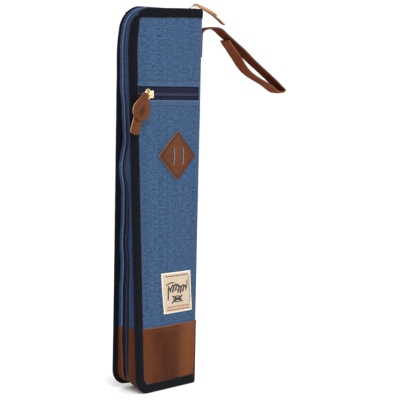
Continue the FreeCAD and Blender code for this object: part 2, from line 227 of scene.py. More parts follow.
def newGroup(name, inputs, outputs):
    group = bpy.data.node_groups.new(name, "ShaderNodeTree")
    for title, kind, value in inputs:
        socket = group.interface.new_socket(title, in_out="INPUT", socket_type=kind)
        if value is not None:
            socket.default_value = value
    for title in outputs:
        group.interface.new_socket(title, in_out="OUTPUT", socket_type="NodeSocketFloat")
    return group, group.nodes.new("NodeGroupInput"), group.nodes.new("NodeGroupOutput")


def makeWeaveGroup():
    # Threads that cross: how high each stands, which set shows, and how each thread differs.
    group, given, result = newGroup("weave",
        [("Vector", "NodeSocketVector", None), ("Pitch", "NodeSocketFloat", 0.7 * mm),
        ("Repeat", "NodeSocketFloat", 3.0)], ["Height", "Weft", "Thread", "Slub"])
    split = group.nodes.new("ShaderNodeSeparateXYZ")
    group.links.new(given.outputs["Vector"], split.inputs[0])
    warp = calc(group, "DIVIDE", split.outputs[0], given.outputs["Pitch"])
    weft = calc(group, "DIVIDE", split.outputs[1], given.outputs["Pitch"])
    warpNumber, weftNumber = calc(group, "FLOOR", warp), calc(group, "FLOOR", weft)
    step = calc(group, "FLOORED_MODULO", plus(group, warpNumber, weftNumber), given.outputs["Repeat"])
    under = calc(group, "LESS_THAN", step, 0.5)
    warpMiddle = calc(group, "SUBTRACT", times(group, calc(group, "FRACT", warp), 2), 1)
    weftMiddle = calc(group, "SUBTRACT", times(group, calc(group, "FRACT", weft), 2), 1)
    warpHeight = calc(group, "SUBTRACT", 1, times(group, warpMiddle, warpMiddle))
    weftHeight = calc(group, "SUBTRACT", 1, times(group, weftMiddle, weftMiddle))
    lower = times(group, weftHeight, 0.7)
    pick = times(group, under, calc(group, "SUBTRACT", lower, warpHeight))
    group.links.new(plus(group, warpHeight, pick), result.inputs["Height"])
    group.links.new(under, result.inputs["Weft"])
    thread = group.nodes.new("ShaderNodeTexWhiteNoise")
    thread.noise_dimensions = "1D"
    group.links.new(warpNumber, thread.inputs["W"])
    group.links.new(thread.outputs["Value"], result.inputs["Thread"])
    slub = noiseOf(group, scaled(group, given.outputs["Vector"], 900, 130), 1, 3, 0.6)
    group.links.new(spread(group, slub, 0.3, 0.7), result.inputs["Slub"])
    return group


def makeHideGroup():
    # Leather: broad clouds, brushed streaks, and the grain that feeds the bump.
    group, given, result = newGroup("hide",
        [("Vector", "NodeSocketVector", None), ("Grain", "NodeSocketFloat", 1100.0)],
        ["Cloud", "Fleck", "Height"])
    vector = given.outputs["Vector"]
    cloud = noiseOf(group, scaled(group, vector, 1.0, 0.4), 24, 3, 0.5, 0.2)
    group.links.new(spread(group, cloud, 0.28, 0.72), result.inputs["Cloud"])
    fleck = noiseOf(group, scaled(group, vector, 1.0, 0.6), 420, 3, 0.65)
    group.links.new(spread(group, fleck, 0.3, 0.7), result.inputs["Fleck"])
    cells = group.nodes.new("ShaderNodeTexVoronoi")
    cells.feature = "DISTANCE_TO_EDGE"
    group.links.new(vector, cells.inputs["Vector"])
    group.links.new(given.outputs["Grain"], cells.inputs["Scale"])
    pebble = spread(group, cells.outputs["Distance"], 0.0, 0.35)
    height = plus(group, times(group, pebble, 0.6), times(group, fleck, 0.6))
    group.links.new(height, result.inputs["Height"])
    return group


weaveGroup, hideGroup = makeWeaveGroup(), makeHideGroup()


def startMaterial(name, **sockets):
    material = bpy.data.materials.new(name)
    material.use_nodes = True
    shader = material.node_tree.nodes["Principled BSDF"]
    for title, value in sockets.items():
        shader.inputs[title.replace("_", " ")].default_value = value
    return material, material.node_tree, shader


def useGroup(tree, group, vector, **values):
    node = tree.nodes.new("ShaderNodeGroup")
    node.node_tree = group
    tree.links.new(vector, node.inputs["Vector"])
    for title, value in values.items():
        join(tree, value, node.inputs[title])
    return node.outputs


def clothVector(tree):
    node = tree.nodes.new("ShaderNodeUVMap")
    node.uv_map = "UVMap"
    return node.outputs[0]


def objectVector(tree):
    return tree.nodes.new("ShaderNodeTexCoord").outputs["Object"]


# The wear attribute: edge wear on most pieces, and painted light on the leather panels, the gusset's back seam
# and the strap.
def wearAndLightOf(tree):
    node = tree.nodes.new("ShaderNodeAttribute")
    node.attribute_name = "wearAndLight"
    return node.outputs["Fac"]


def bumpInto(tree, shader, height, strength, distance):
    node = tree.nodes.new("ShaderNodeBump")
    node.inputs["Strength"].default_value = strength
    node.inputs["Distance"].default_value = distance
    tree.links.new(height, node.inputs["Height"])
    tree.links.new(node.outputs[0], shader.inputs["Normal"])


def wovenCloth(name, dark, light, weftTone, wearAndLightTone, pitch, repeat, depth, mottle=0.5, roughness=0.95,
        sheen=0.02):
    # A woven cloth whose coloured warp is mottled, over a paler or darker weft.
    material, tree, shader = startMaterial(name, Roughness=roughness, Sheen_Weight=sheen,
        Sheen_Roughness=0.5, Specular_IOR_Level=0.08)
    vector = clothVector(tree)
    weave = useGroup(tree, weaveGroup, vector, Pitch=pitch, Repeat=float(repeat))
    blotch = noiseOf(tree, scaled(tree, vector, 1, 0.55), 640, 4, 0.7)
    fade = noiseOf(tree, scaled(tree, vector, 1, 0.5), 26, 3, 0.5)
    crossing = noiseOf(tree, scaled(tree, vector, 0.2, 1), 620, 2, 0.6)
    shade = plus(tree, times(tree, spread(tree, blotch, 0.42, 0.59), mottle),
        times(tree, weave["Slub"], 0.7 - mottle))
    shade = plus(tree, shade, times(tree, spread(tree, crossing, 0.44, 0.6), 0.3))
    shade = plus(tree, shade, times(tree, calc(tree, "SUBTRACT", weave["Thread"], 0.5), 0.25))
    colour = mixColour(tree, shade, dark, light)
    colour = mixColour(tree, times(tree, weave["Weft"], 0.35), colour, weftTone)
    colour = mixColour(tree, spread(tree, fade, 0.35, 0.65, 0.0, 0.3), colour,
        mixColour(tree, 0.5, dark, light))
    wornAndLit = times(tree, wearAndLightOf(tree), spread(tree, blotch, 0.3, 0.6, 0.6, 1.0))
    colour = mixColour(tree, wornAndLit, colour, wearAndLightTone)
    tree.links.new(colour, shader.inputs["Base Color"])
    bumpInto(tree, shader, plus(tree, weave["Height"], times(tree, blotch, 1.2)), 0.75, depth)
    return material


def leather(name, dark, light, wearAndLightTone, grain, roughness, bump=0.35, cloudy=1.0, shine=0.15):
    material, tree, shader = startMaterial(name, Roughness=roughness, Specular_IOR_Level=shine)
    hide = useGroup(tree, hideGroup, clothVector(tree), Grain=grain)
    shade = plus(tree, times(tree, hide["Cloud"], 0.7 * cloudy), times(tree, hide["Fleck"], 0.35))
    colour = mixColour(tree, calc(tree, "MINIMUM", shade, 1), dark, light)
    wornAndLit = times(tree, wearAndLightOf(tree), spread(tree, hide["Fleck"], 0.1, 0.8, 0.7, 1.0))
    colour = mixColour(tree, wornAndLit, colour, wearAndLightTone)
    tree.links.new(colour, shader.inputs["Base Color"])
    tree.links.new(spread(tree, hide["Cloud"], 0, 1, roughness + 0.08, roughness - 0.06),
        shader.inputs["Roughness"])
    bumpInto(tree, shader, hide["Height"], bump, 0.25 * mm)
    return material


denim = wovenCloth("denim", tone(2, 22, 46), tone(62, 92, 128), tone(90, 112, 138), tone(84, 106, 136),
    0.62 * mm, 3, 0.22 * mm)
# The gusset strips: a darker copy of the denim, painted shade for the recessed side wall; its fourth tone
# serves the hem's edge wear and a painted highlight on the back seam.
shadedSideDenim = wovenCloth("shadedSideDenim", tone(8, 22, 46), tone(44, 66, 104), tone(70, 88, 120),
    tone(104, 122, 154), 0.62 * mm, 3, 0.22 * mm)
bindingCloth = wovenCloth("bindingCloth", tone(3, 4, 8), tone(10, 11, 19), tone(14, 16, 24),
    tone(20, 22, 32), 0.75 * mm, 2, 0.2 * mm, 0.35)
tapeCloth = wovenCloth("tapeCloth", tone(6, 8, 20), tone(18, 20, 42), tone(26, 28, 50), tone(36, 38, 64),
    0.5 * mm, 2, 0.15 * mm, 0.3, 0.8)
liningCloth = wovenCloth("liningCloth", tone(52, 54, 60), tone(82, 84, 92), tone(96, 98, 106),
    tone(110, 112, 120), 0.4 * mm, 2, 0.08 * mm, 0.3, 0.6, 0.2)
labelCloth = wovenCloth("labelCloth", tone(152, 136, 116), tone(186, 171, 151), tone(192, 178, 161),
    tone(222, 216, 208), 0.45 * mm, 2, 0.06 * mm, 0.4)
# The third tone of the brown and strap leathers serves edge wear and painted light.
brownLeather = leather("brownLeather", tone(44, 16, 2), tone(80, 36, 9), tone(122, 70, 34), 1300.0, 0.8,
    0.3)
tanLeather = leather("tanLeather", tone(60, 25, 2), tone(94, 46, 10), tone(30, 10, 1), 900.0, 0.55, 0.3,
    0.8)
strapLeather = leather("strapLeather", tone(48, 14, 4), tone(98, 42, 20), tone(142, 80, 50), 1000.0, 0.85,
    0.35, 1.0, 0.03)
strapEdge = leather("strapEdge", tone(44, 22, 12), tone(82, 48, 32), tone(110, 70, 48), 1500.0, 0.7, 0.3)
paleEdge = leather("paleEdge", tone(170, 116, 78), tone(206, 158, 122), tone(216, 176, 142), 1500.0, 0.8,
    0.4)


def plainThread(name, dark, light):
    # Twisted sewing thread.
    material, tree, shader = startMaterial(name, Roughness=0.7, Sheen_Weight=0.2)
    vector = objectVector(tree)
    colour = mixColour(tree, noiseOf(tree, vector, 2600, 2), dark, light)
    tree.links.new(colour, shader.inputs["Base Color"])
    bumpInto(tree, shader, noiseOf(tree, vector, 5200, 1), 0.4, 0.1 * mm)
    return material


navyThread = plainThread("navyThread", tone(5, 12, 30), tone(16, 30, 56))
blackThread = plainThread("blackThread", tone(10, 10, 14), tone(30, 30, 38))
brownThread = plainThread("brownThread", tone(40, 15, 5), tone(72, 34, 16))
creamThread = plainThread("creamThread", tone(206, 184, 156), tone(240, 222, 198))


def makeCoilNylon():
    material, tree, shader = startMaterial("coilNylon", Roughness=0.35, Specular_IOR_Level=0.5)
    vector = objectVector(tree)
    colour = mixColour(tree, noiseOf(tree, vector, 900, 2), tone(20, 20, 40), tone(40, 40, 70))
    tree.links.new(colour, shader.inputs["Base Color"])
    bumpInto(tree, shader, noiseOf(tree, vector, 3000, 1), 0.3, 0.05 * mm)
    return material


def makeBrass():
    # Pale gold plate: fine scratches, and a duller film in patches.
    material, tree, shader = startMaterial("brass", Metallic=1.0, Roughness=0.28)
    vector = objectVector(tree)
    dull = spread(tree, noiseOf(tree, vector, 420, 3, 0.6), 0.4, 0.7)
    scratch = noiseOf(tree, scaled(tree, vector, 1, 1, 9), 1600, 2, 0.7)
    tree.links.new(mixColour(tree, dull, tone(236, 212, 168), tone(168, 136, 96)),
        shader.inputs["Base Color"])
    tree.links.new(plus(tree, spread(tree, scratch, 0.3, 0.7, 0.16, 0.34), times(tree, dull, 0.15)),
        shader.inputs["Roughness"])
    bumpInto(tree, shader, scratch, 0.2, 0.04 * mm)
    return material


def makeInk(name, first, second):
    # Print that has sunk into the cloth and worn a little.
    material, tree, shader = startMaterial(name, Roughness=0.85)
    speck = spread(tree, noiseOf(tree, objectVector(tree), 2400, 3, 0.7), 0.35, 0.75)
    tree.links.new(mixColour(tree, speck, first, second), shader.inputs["Base Color"])
    bumpInto(tree, shader, speck, 0.2, 0.05 * mm)
    return material


coilNylon = makeCoilNylon()
brass = makeBrass()
stopMetal = startMaterial("stopMetal", Metallic=1.0, Roughness=0.45, Base_Color=tone(46, 42, 40))[0]
darkInk = makeInk("darkInk", tone(12, 10, 8), tone(52, 42, 32))
redInk = makeInk("redInk", tone(126, 56, 42), tone(160, 96, 76))
print("materials ready")


# Making pieces. A place function turns two shares, 0 to 1, into a point, its place on the flat cloth
# and its wear, which on some pieces also holds painted light.
def addGrid(bm, steps, place, settled=True, flip=False, finish=0, matrix=None):
    uvLayer = bm.loops.layers.uv.get("UVMap") or bm.loops.layers.uv.new("UVMap")
    wearAndLightLayer = bm.verts.layers.float.get("wearAndLight") or bm.verts.layers.float.new("wearAndLight")
    made = bmesh.ops.create_grid(bm, x_segments=steps[0], y_segments=steps[1], size=0.5)["verts"]
    flat = {}
    for vert in made:
        point, flat[vert], vert[wearAndLightLayer] = place(vert.co.x + 0.5, vert.co.y + 0.5)
        point = Vector(point) if matrix is None else matrix @ Vector(point)
        vert.co = settle(point) if settled else point
    faces = {face for vert in made for face in vert.link_faces}
    for face in faces:
        face.smooth = True
        face.material_index = finish
        for loop in face.loops:
            loop[uvLayer].uv = flat[loop.vert]
    if flip:
        bmesh.ops.reverse_faces(bm, faces=list(faces))
    return made


def smoothAll(bm):
    for face in bm.faces:
        face.smooth = True


def finishPiece(name, bm, materials, body, nodes=(), thickness=0.0, rim=0, merge=True, offset=-1.0):
    if merge:
        bmesh.ops.remove_doubles(bm, verts=bm.verts, dist=mergeDistance)
    mesh = bpy.data.meshes.new(name)
    bm.to_mesh(mesh)
    bm.free()
    piece = bpy.data.objects.new(name, mesh)
    bpy.context.scene.collection.objects.link(piece)
    for material in materials:
        mesh.materials.append(material)
    if thickness:
        solid = piece.modifiers.new("thickness", "SOLIDIFY")
        solid.thickness = thickness
        solid.offset = offset
        solid.material_offset_rim = rim
        solid.use_quality_normals = True
    if isinstance(body, str):
        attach(piece, body)
    else:
        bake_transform(piece)
    if nodes:
        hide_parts(*nodes)
    return piece


def sheetPiece(name, steps, place, material, body, nodes=(), thickness=1.2 * mm, flip=False):
    bm = bmesh.new()
    addGrid(bm, steps, place, flip=flip)
    area = sum(face.calc_area() for face in bm.faces)
    piece = finishPiece(name, bm, [material], body, nodes, thickness)


def stitchRow(name, spots, material, body, length=2.3 * mm, width=0.36 * mm, gap=3.1 * mm):
    # Stitches along a line of points, each with the direction that faces outwards.
    bm = bmesh.new()
    travelled, due = 0.0, gap / 2
    for (start, outward), (end, _) in zip(spots, spots[1:]):
        step = (end - start).length
        while step > 1e-9 and due <= travelled + step:
            at = start.lerp(end, (due - travelled) / step)
            along = (end - start).normalized()
            side = outward.cross(along).normalized()
            turn = Matrix((along, side, along.cross(side))).transposed().to_4x4()
            size = Matrix.Diagonal((length / 2, width, width, 1))
            made = bmesh.ops.create_icosphere(bm, subdivisions=1, radius=1,
                matrix=Matrix.Translation(at) @ turn @ size)
            for vert in made["verts"]:
                vert.co = settle(vert.co)
            due += gap
        travelled += step
    smoothAll(bm)
    return finishPiece(name, bm, [material], body, merge=False)


# The skin of the case: one front or back face, the rounded fold, and half of the spine.
foldStart = case["right"] - case["foldRadius"]


def spineMiddle(z):
    return foldStart + case["foldRadius"] * (math.pi / 2 - 1) + halfDepth(z)


def skinPoint(side, along, z, depth=0.0):
    radius, reach = case["foldRadius"], halfDepth(z)
    if along <= foldStart:
        return Vector((along, side * (reach - depth), z))
    angle = (along - foldStart) / radius
    if angle < math.pi / 2:
        distance = radius - depth
        return Vector((foldStart + math.sin(angle) * distance,
            side * (reach - radius + math.cos(angle) * distance), z))
    further = along - foldStart - radius * math.pi / 2
    return Vector((case["right"] - depth, side * (reach - radius - further), z))


def ripple(x, z, size, seed):
    return noiseAt(x / size, z / size, seed)


def nearEdge(x, z):
    # How near a point of the face is to the binding, 1 at it and 0 from 14 mm away.
    inner = case["bound"]
    gap = min(x - case["left"] - inner, case["height"] - inner - z, z - inner)
    return 1 - ramp(max(gap, 0) / (15 * mm))


def faceLift(side, x, z):
    # How far the padded face stands out: a low crown, a soft ridge, slow waves and small puckers at the
    # binding.
    share = min(max((x - case["left"] - 10 * mm) / (foldStart - case["left"] - 10 * mm), 0), 1)
    crown = math.sin(math.pi * share) ** 0.7
    ridge = max(0.0, 1 - abs(x + 6 * mm) / (46 * mm))
    grow = min(1, max(z - 20 * mm, 0) / (60 * mm))
    lift = 1.1 * mm * crown + (1.3 if side < 0 else 0.8) * mm * ridge * grow
    lift = (lift + 0.9 * mm * ripple(x, z, 60 * mm, side * 3.1) * crown) * (1 - nearEdge(x, z))
    pucker = math.sin(z / (3.4 * mm) + 5 * ripple(x, z, 30 * mm, 1.7)) + math.sin(x / (3.1 * mm))
    return lift + 0.14 * mm * nearEdge(x, z) * pucker


def panelPlace(side, lowZ, highZ, hemLow=0.0, hemHigh=0.0):
    leftEdge = case["left"] + case["under"]
    reach = foldStart - leftEdge

    def place(u, v):
        v = 0.5 - 0.5 * math.cos(math.pi * v) if hemLow or hemHigh else v
        x, z = leftEdge + reach * u, lowZ + (highZ - lowZ) * v
        lift, wearAndLight = faceLift(side, x, z), 0.0
        for hem, gap in ((hemLow, z - lowZ), (hemHigh, highZ - z)):
            if hem:
                lift += 0.5 * mm * hump(gap, 3 * mm, 3.2 * mm)
                lift -= 0.35 * mm * hump(gap, hem, 1.1 * mm)
                lift -= 1.0 * mm * max(0, 1 - gap / (0.9 * mm)) ** 2
                wearAndLight = max(wearAndLight, hump(gap, 0, 1.0 * mm), 0.12 * hump(gap, 4 * mm, 3 * mm))
        lift -= 0.4 * mm * hump(foldStart - x, 4.5 * mm, 1.4 * mm)
        return skinPoint(side, x, z, case["skinDepth"] - lift), (x, z), wearAndLight
    return place


zipZ = (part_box("pocket_coil_upper")[0].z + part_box("pocket_coil_lower")[1].z) / 2
mouthHigh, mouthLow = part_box("front_panel_denim")[0].z + 1 * mm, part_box("pocket_panel_denim")[1].z + 2 * mm
panelTop = case["height"] - case["under"]
panelBottom = case["under"]
hem = 7 * mm
sheetPiece("front_panel", (64, 70), panelPlace(-1, mouthHigh, panelTop, hemLow=hem), denim, "front_half",
    ("front_panel_denim", "front_foam"))
sheetPiece("pocket_panel", (64, 150), panelPlace(-1, case["leather"] - 4 * mm, mouthLow, hemHigh=hem),
    denim, "front_half", ("pocket_panel_denim", "pocket_rear_wall"))
sheetPiece("back_panel", (64, 160), panelPlace(1, case["leather"] - 4 * mm, panelTop), denim, "back_half",
    ("back_panel_denim", "back_foam"), flip=True)


def leatherPlace(side):
    base = panelPlace(side, panelBottom, case["leather"], hemHigh=4.6 * mm)

    def place(u, v):
        point, cloth, wearAndLight = base(u, v)
        point.y += side * 1.0 * mm * max(0.2, 1 - nearEdge(*cloth))
        sag = max(0, 1 - abs(cloth[0] - 22 * mm) / (30 * mm))
        sag *= max(0, 1 - abs(cloth[1] - 40 * mm) / (36 * mm))
        point.y -= side * 0.9 * mm * sag
        # Painted light: the right part of the leather, and a little of the far left, are made paler as if lit
        # from the side.
        paintedSideLight = 0.5 * ramp((cloth[0] - 8 * mm) / (28 * mm))
        paintedSideLight += 0.12 * ramp((-20 * mm - cloth[0]) / (14 * mm))
        return point, cloth, max(wearAndLight, paintedSideLight)
    return place


for name, side, body in (("pocket_panel_hide", -1, "front_half"), ("back_panel_hide", 1, "back_half")):
    node = "pocket_panel_leather" if side < 0 else "back_panel_leather"
    sheetPiece(name, (56, 70), leatherPlace(side), brownLeather, body, (node,),
        flip=side > 0)
print("panels made")


# The folds at the spine. Each piece crosses from its half onto the spine and is attached to neither.
def visualFold(side, z):
    return settle(skinPoint(side, case["right"], z))


def foldBlend(side):
    # Start and end points for a piece that crosses a fold, set square to the settled fold line.
    top, foot = visualFold(side, case["height"]), visualFold(side, 0)
    slope = (top.y - foot.y) / case["height"]
    start = Vector((foldStart + 4.0 * mm, (top.y + foot.y) / 2 + side * 1.0 * mm, middle))
    step = Vector((5 * mm, -side * 6.5 * mm, 0))
    step.z = -step.y * slope
    half = "front_half" if side < 0 else "back_half"
    return half, "spine", tuple(start), tuple(start + step)


def foldPlace(side, lowZ, highZ, extra=0.0, hemHigh=0.0, tuck=0.0):
    def place(u, v):
        z = lowZ + (highZ - lowZ) * v
        along = foldStart + (spineMiddle(z) - foldStart) * u
        bulge = 2.0 * mm * math.sin(u * math.pi / 2) + 0.25 * mm * ripple(along, z, 40 * mm, 7.7)
        lift, wearAndLight = extra + bulge - tuck * (1 - u), 0.0
        if hemHigh:
            gap = highZ - z
            lift += 0.4 * mm * hump(gap, 2.4 * mm, 2.6 * mm)
            lift -= 0.3 * mm * hump(gap, hemHigh, 1.1 * mm)
            wearAndLight = hump(gap, 0, 1.0 * mm)
        wearAndLight = max(wearAndLight, 0.25 * hump(along - foldStart, 3.5 * mm, 2.2 * mm))
        return skinPoint(side, along, z, case["skinDepth"] - lift), (along, z), wearAndLight
    return place


for side, half in halves:
    crossing = foldBlend(side)
    sheetPiece(f"spine_cloth_{half}", (16, 150), foldPlace(side, case["leather"] - 4 * mm, panelTop), denim,
        crossing, ("spine_denim", "spine_foam") if side < 0 else (), flip=side > 0)
    sheetPiece(f"spine_hide_{half}", (16, 60),
        foldPlace(side, panelBottom, case["leather"], 1.0 * mm, 4.6 * mm), brownLeather, crossing,
        ("spine_leather",) if side < 0 else (), flip=side > 0)
print("folds made")


# Edge binding: a folded tape round the top, the long side and the bottom, and on round the spine's two ends.
binding = {"width": case["bound"], "depth": 4.6 * mm, "innerTop": 2.5 * mm, "innerBottom": 8 * mm,
    "turn": 22}
sections = [0.0, 0.14, 0.20, 0.80, 0.85, 1.0]


def wrapPoint(share, inset, topRadius=None, bottomRadius=None):
    # A point on the line that runs this far inside the three bound edges, from the top of the fold to
    # its foot.
    topRadius = max(case["cornerTop"] - inset, 1 * mm) if topRadius is None else topRadius
    bottomRadius = max(case["cornerBottom"] - inset, 1 * mm) if bottomRadius is None else bottomRadius
    left, top, low = case["left"] + inset, case["height"] - inset, inset
    part = next(i for i in range(5) if share <= sections[i + 1] or i == 4)
    t = (share - sections[part]) / (sections[part + 1] - sections[part])
    if part == 0:
        return foldStart + (left + topRadius - foldStart) * t, top
    if part == 1:
        angle = math.pi / 2 * (1 + t)
        return left + topRadius + topRadius * math.cos(angle), top - topRadius + topRadius * math.sin(angle)
    if part == 2:
        return left, top - topRadius + (low + bottomRadius - top + topRadius) * t
    if part == 3:
        angle = math.pi * (1 + t / 2)
        x = left + bottomRadius + bottomRadius * math.cos(angle)
        return x, low + bottomRadius + bottomRadius * math.sin(angle)
    return left + bottomRadius + (foldStart - left - bottomRadius) * t, low


def profile(v):
    # Round a flattened oval: 0 to 1 from the outer to the inner edge, and 0 to 1 from outside to inside.
    c, s = math.cos(2 * math.pi * v), math.sin(2 * math.pi * v)
    return 0.5 - 0.5 * math.copysign(abs(c) ** 0.5, c), 0.5 - 0.5 * math.copysign(abs(s) ** 0.62, s)


def bindingPlace(side):
    def place(u, v):
        inward, deep = profile(v)
        outer = wrapPoint(u, 0)
        inner = wrapPoint(u, binding["width"], binding["innerTop"], binding["innerBottom"])
        x, z = (outer[i] + (inner[i] - outer[i]) * inward for i in range(2))
        corner = 1 if sections[1] < u < sections[2] or sections[3] < u < sections[4] else 0
        pucker = 0.10 + 0.22 * corner
        length = u * edgeLength
        lift = 0.35 * mm * math.sin(math.pi * inward) * (1 - deep)
        lift += pucker * mm * noiseAt(length / (2.6 * mm), inward * 2, side * 4.0) * (1 - deep)
        lift += 0.3 * mm * noiseAt(length / (22 * mm), 3.0, side * 2.0)
        wearAndLight = 0.5 * hump(inward, 0.03, 0.08) * (1 - deep)
        point = skinPoint(side, x, z, binding["depth"] * deep - lift)
        return point, (length, inward * binding["width"] + deep * binding["depth"]), wearAndLight
    return place


def closeEnds(bm):
    bmesh.ops.remove_doubles(bm, verts=bm.verts, dist=mergeDistance)
    rims = [edge for edge in bm.edges if edge.is_boundary]
    bmesh.ops.holes_fill(bm, edges=rims)
    bmesh.ops.recalc_face_normals(bm, faces=bm.faces)


for side, half in halves:
    bm = bmesh.new()
    addGrid(bm, (440, binding["turn"]), bindingPlace(side))
    closeEnds(bm)
    finishPiece(f"{half}_edge_tape", bm, [bindingCloth], f"{half}_half", (f"{half}_binding",))


def spineBindingPlace(side, top):
    def place(u, v):
        inward, deep = profile(v)
        edge = case["height"] if top else 0.0
        z = edge + (-1 if top else 1) * binding["width"] * inward
        along = foldStart + (spineMiddle(z) - foldStart) * u
        lift = 0.35 * mm * math.sin(math.pi * inward) * (1
            - deep) + 2.2 * mm * math.sin(u * math.pi / 2) * (1 - deep)
        lift += 0.16 * mm * noiseAt(along / (2.6 * mm), inward * 2, side * 4.0) * (1 - deep)
        depth = min(binding["depth"], case["foldRadius"] - 0.2 * mm) * deep - lift
        return skinPoint(side, along, z, depth), (along, inward * binding["width"]), 0.15
    return place


for side, half in halves:
    bm = bmesh.new()
    for top in (True, False):
        addGrid(bm, (26, binding["turn"]), spineBindingPlace(side, top))
    closeEnds(bm)
    finishPiece(f"spine_edge_tape_{half}", bm, [bindingCloth], foldBlend(side),
        ("spine_binding",) if side < 0 else ())
print("bindings made")


# Gusset and main zip. Their places are given round the edge: how deep the wall lies, where the zip
# runs, how wide it gapes.
def heightAt(share):
    return wrapPoint(share, 0)[1]


wallInset = [(10 * mm, 6.5), (70 * mm, 6.6), (120 * mm, 6.8), (155 * mm, 8.4), (182 * mm, 6.4),
    (212 * mm, 7.6), (242 * mm, 7.8), (274 * mm, 3.4), (309 * mm, 8.8), (345 * mm, 6.6), (375 * mm, 3.4),
    (440 * mm, 2.4)]
zipCentre = [(10 * mm, 4.2), (80 * mm, 4.8), (270 * mm, 3.6), (400 * mm, 2.4), (455 * mm, 1.2)]
zipMouth = [(10 * mm, 9.4), (80 * mm, 12.8), (180 * mm, 11.6), (300 * mm, 7.4), (400 * mm, 4.4),
    (455 * mm, 4.4)]


def insetAt(share):
    z = heightAt(share)
    if share < sections[1]:
        x = wrapPoint(share, 0)[0]
        return blendTable([(-20 * mm, 1.2), (10 * mm, 3.2), (30 * mm, 5.2)], x) * mm
    if share > sections[4]:
        return 6.0 * mm
    return blendTable(wallInset, z) * mm


def centreAt(share):
    return blendTable(zipCentre, heightAt(share)) * mm * (1 if share > sections[1] else share / sections[1])


def mouthAt(share):
    return blendTable(zipMouth, heightAt(share)) * mm


def gussetPlace(side, start, stop, extra=0.0):
    def place(u, v):
        share = start + (stop - start) * u
        outline = wrapPoint(share, 0)
        inset = insetAt(share)
        wall = side * (halfDepth(outline[1]) - 3.9 * mm)
        hemY = centreAt(share) + side * mouthAt(share) / 2
        y = wall + (hemY - wall) * min(v / 0.92, 1)
        length = share * edgeLength
        wave = 0.6 * mm * noiseAt(length / (26 * mm), side * 5.0, 2.0)
        bulge = (1.4 * mm + wave) * math.sin(math.pi * min(v / 0.92, 1)) ** 0.8
        y += 0.5 * mm * noiseAt(length / (15 * mm), side * 2.0, 9.0) * v
        tuck = 1.6 * mm * max(0, (v - 0.9) / 0.1)
        x, z = wrapPoint(share, max(inset - bulge - extra + tuck, 0.4 * mm))
        # The pale line at the zip's hem is edge wear; the pale line at the back wall's seam, on the back side
        # only, is a painted highlight on its fold edge.
        wearAndLight = 1.0 * hump(v, 0.92, 0.045) + 0.7 * hump(v, 0.03, 0.06) * (side > 0)
        return (x, y, z), (length, abs(wall - y)), min(wearAndLight, 1.0)
    return place


leatherShare = next(i / 2000 for i in range(400, 2000) if heightAt(i / 2000) < case["leather"])
for side, half in halves:
    body = f"{half}_half"
    sheetPiece(f"{half}_side_cloth", (300, 18), gussetPlace(side, 0.0, leatherShare + 0.01), shadedSideDenim,
        body, (f"{half}_gusset_denim",), thickness=1.1 * mm, flip=side < 0)
    sheetPiece(f"{half}_side_hide", (140, 18), gussetPlace(side, leatherShare, 1.0, 0.7 * mm), brownLeather,
        body, (f"{half}_gusset_leather",), thickness=1.2 * mm, flip=side < 0)


def tapePlace(side):
    def place(u, v):
        outline = wrapPoint(u, 0)
        wall = side * (halfDepth(outline[1]) - 4.7 * mm)
        edge = centreAt(u) + side * 0.25 * mm
        y = wall + (edge - wall) * v
        x, z = wrapPoint(u, insetAt(u) + 2.3 * mm)
        rest = abs(edge - y)
        return (x, y, z), (u * edgeLength, rest), 0.25 * (math.sin(rest / (0.35 * mm)) > 0.6)
    return place


def coilTeeth(bm, spots, across, outward, side, tooth):
    for at, along, face in spots:
        cross = face.cross(along).normalized()
        turn = Matrix((along, cross, face)).transposed().to_4x4()
        centre = at + cross * across * side
        size = Matrix.Diagonal((tooth[0], tooth[1], tooth[2], 1))
        matrix = Matrix.Translation(centre + face * outward) @ turn @ size
        bmesh.ops.create_icosphere(bm, subdivisions=1, radius=1, matrix=matrix)
    smoothAll(bm)


def mainCoilSpots(offset, stop=0.0):
    spots, count = [], 500
    for number in range(count):
        share = (number + offset) / count
        if share < stop or share > 0.999:
            continue
        here, after = ([*wrapPoint(s, insetAt(s) + 2.0 * mm), centreAt(s)] for s in (share, share + 0.0006))
        at, ahead = (settle((x, y, z)) for x, z, y in (here, after))
        along = (ahead - at).normalized()
        outward = Vector((0, 1, 0)).cross(along).normalized()
        if outward.dot(Vector((here[0], 0, here[1] - middle))) < 0 and abs(outward.x) > 0.5:
            outward = -outward
        if share < sections[1]:
            outward = Vector((0, 0, 1))
        elif share > sections[4]:
            outward = Vector((0, 0, -1))
        elif outward.x > 0:
            outward = -outward
        spots.append((at, along, outward))
    return spots


topRun = foldStart - case["left"] - case["cornerTop"]
sliderShare = sections[1] * (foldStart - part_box("main_slider")[0].x) / topRun
for side, half in halves:
    sheetPiece(f"main_tape_cloth_{half}", (300, 10), tapePlace(side), tapeCloth, f"{half}_half",
        (f"main_tape_{half}",), thickness=0.7 * mm, flip=side < 0)
    bm = bmesh.new()
    turned = 1 if side > 0 else -1
    coilTeeth(bm, mainCoilSpots(0.0 if side < 0 else 0.5, sliderShare if side < 0 else 0.0), 0.9 * mm,
        0.1 * mm, -turned, (0.5 * mm, 1.45 * mm, 1.1 * mm))
    finishPiece(f"main_teeth_{half}", bm, [coilNylon], f"{half}_half", (f"main_coil_{half}",),
        merge=False)
print("side zip made")


# Pocket zip across the front.
def pocketTapePlace(up):
    def place(u, v):
        x = case["left"] + 8 * mm + (case["right"] - 1.2 * mm - case["left"] - 8 * mm) * u
        gap = 0.3 * mm + 12.5 * mm * v
        z = zipZ + up * gap
        sink = 1.4 * mm - 0.5 * mm * math.sin(math.pi * min(gap / (9 * mm), 1))
        sink -= faceLift(-1, min(x, foldStart), z) * 0.8
        if x > foldStart:
            return skinPoint(-1, x, z, 1.6 * mm), (x, gap), 0.0
        wearAndLight = 0.35 * (math.sin(gap / (0.5 * mm)) > 0.3)
        return skinPoint(-1, x, z, case["skinDepth"] + sink), (x, gap), wearAndLight
    return place


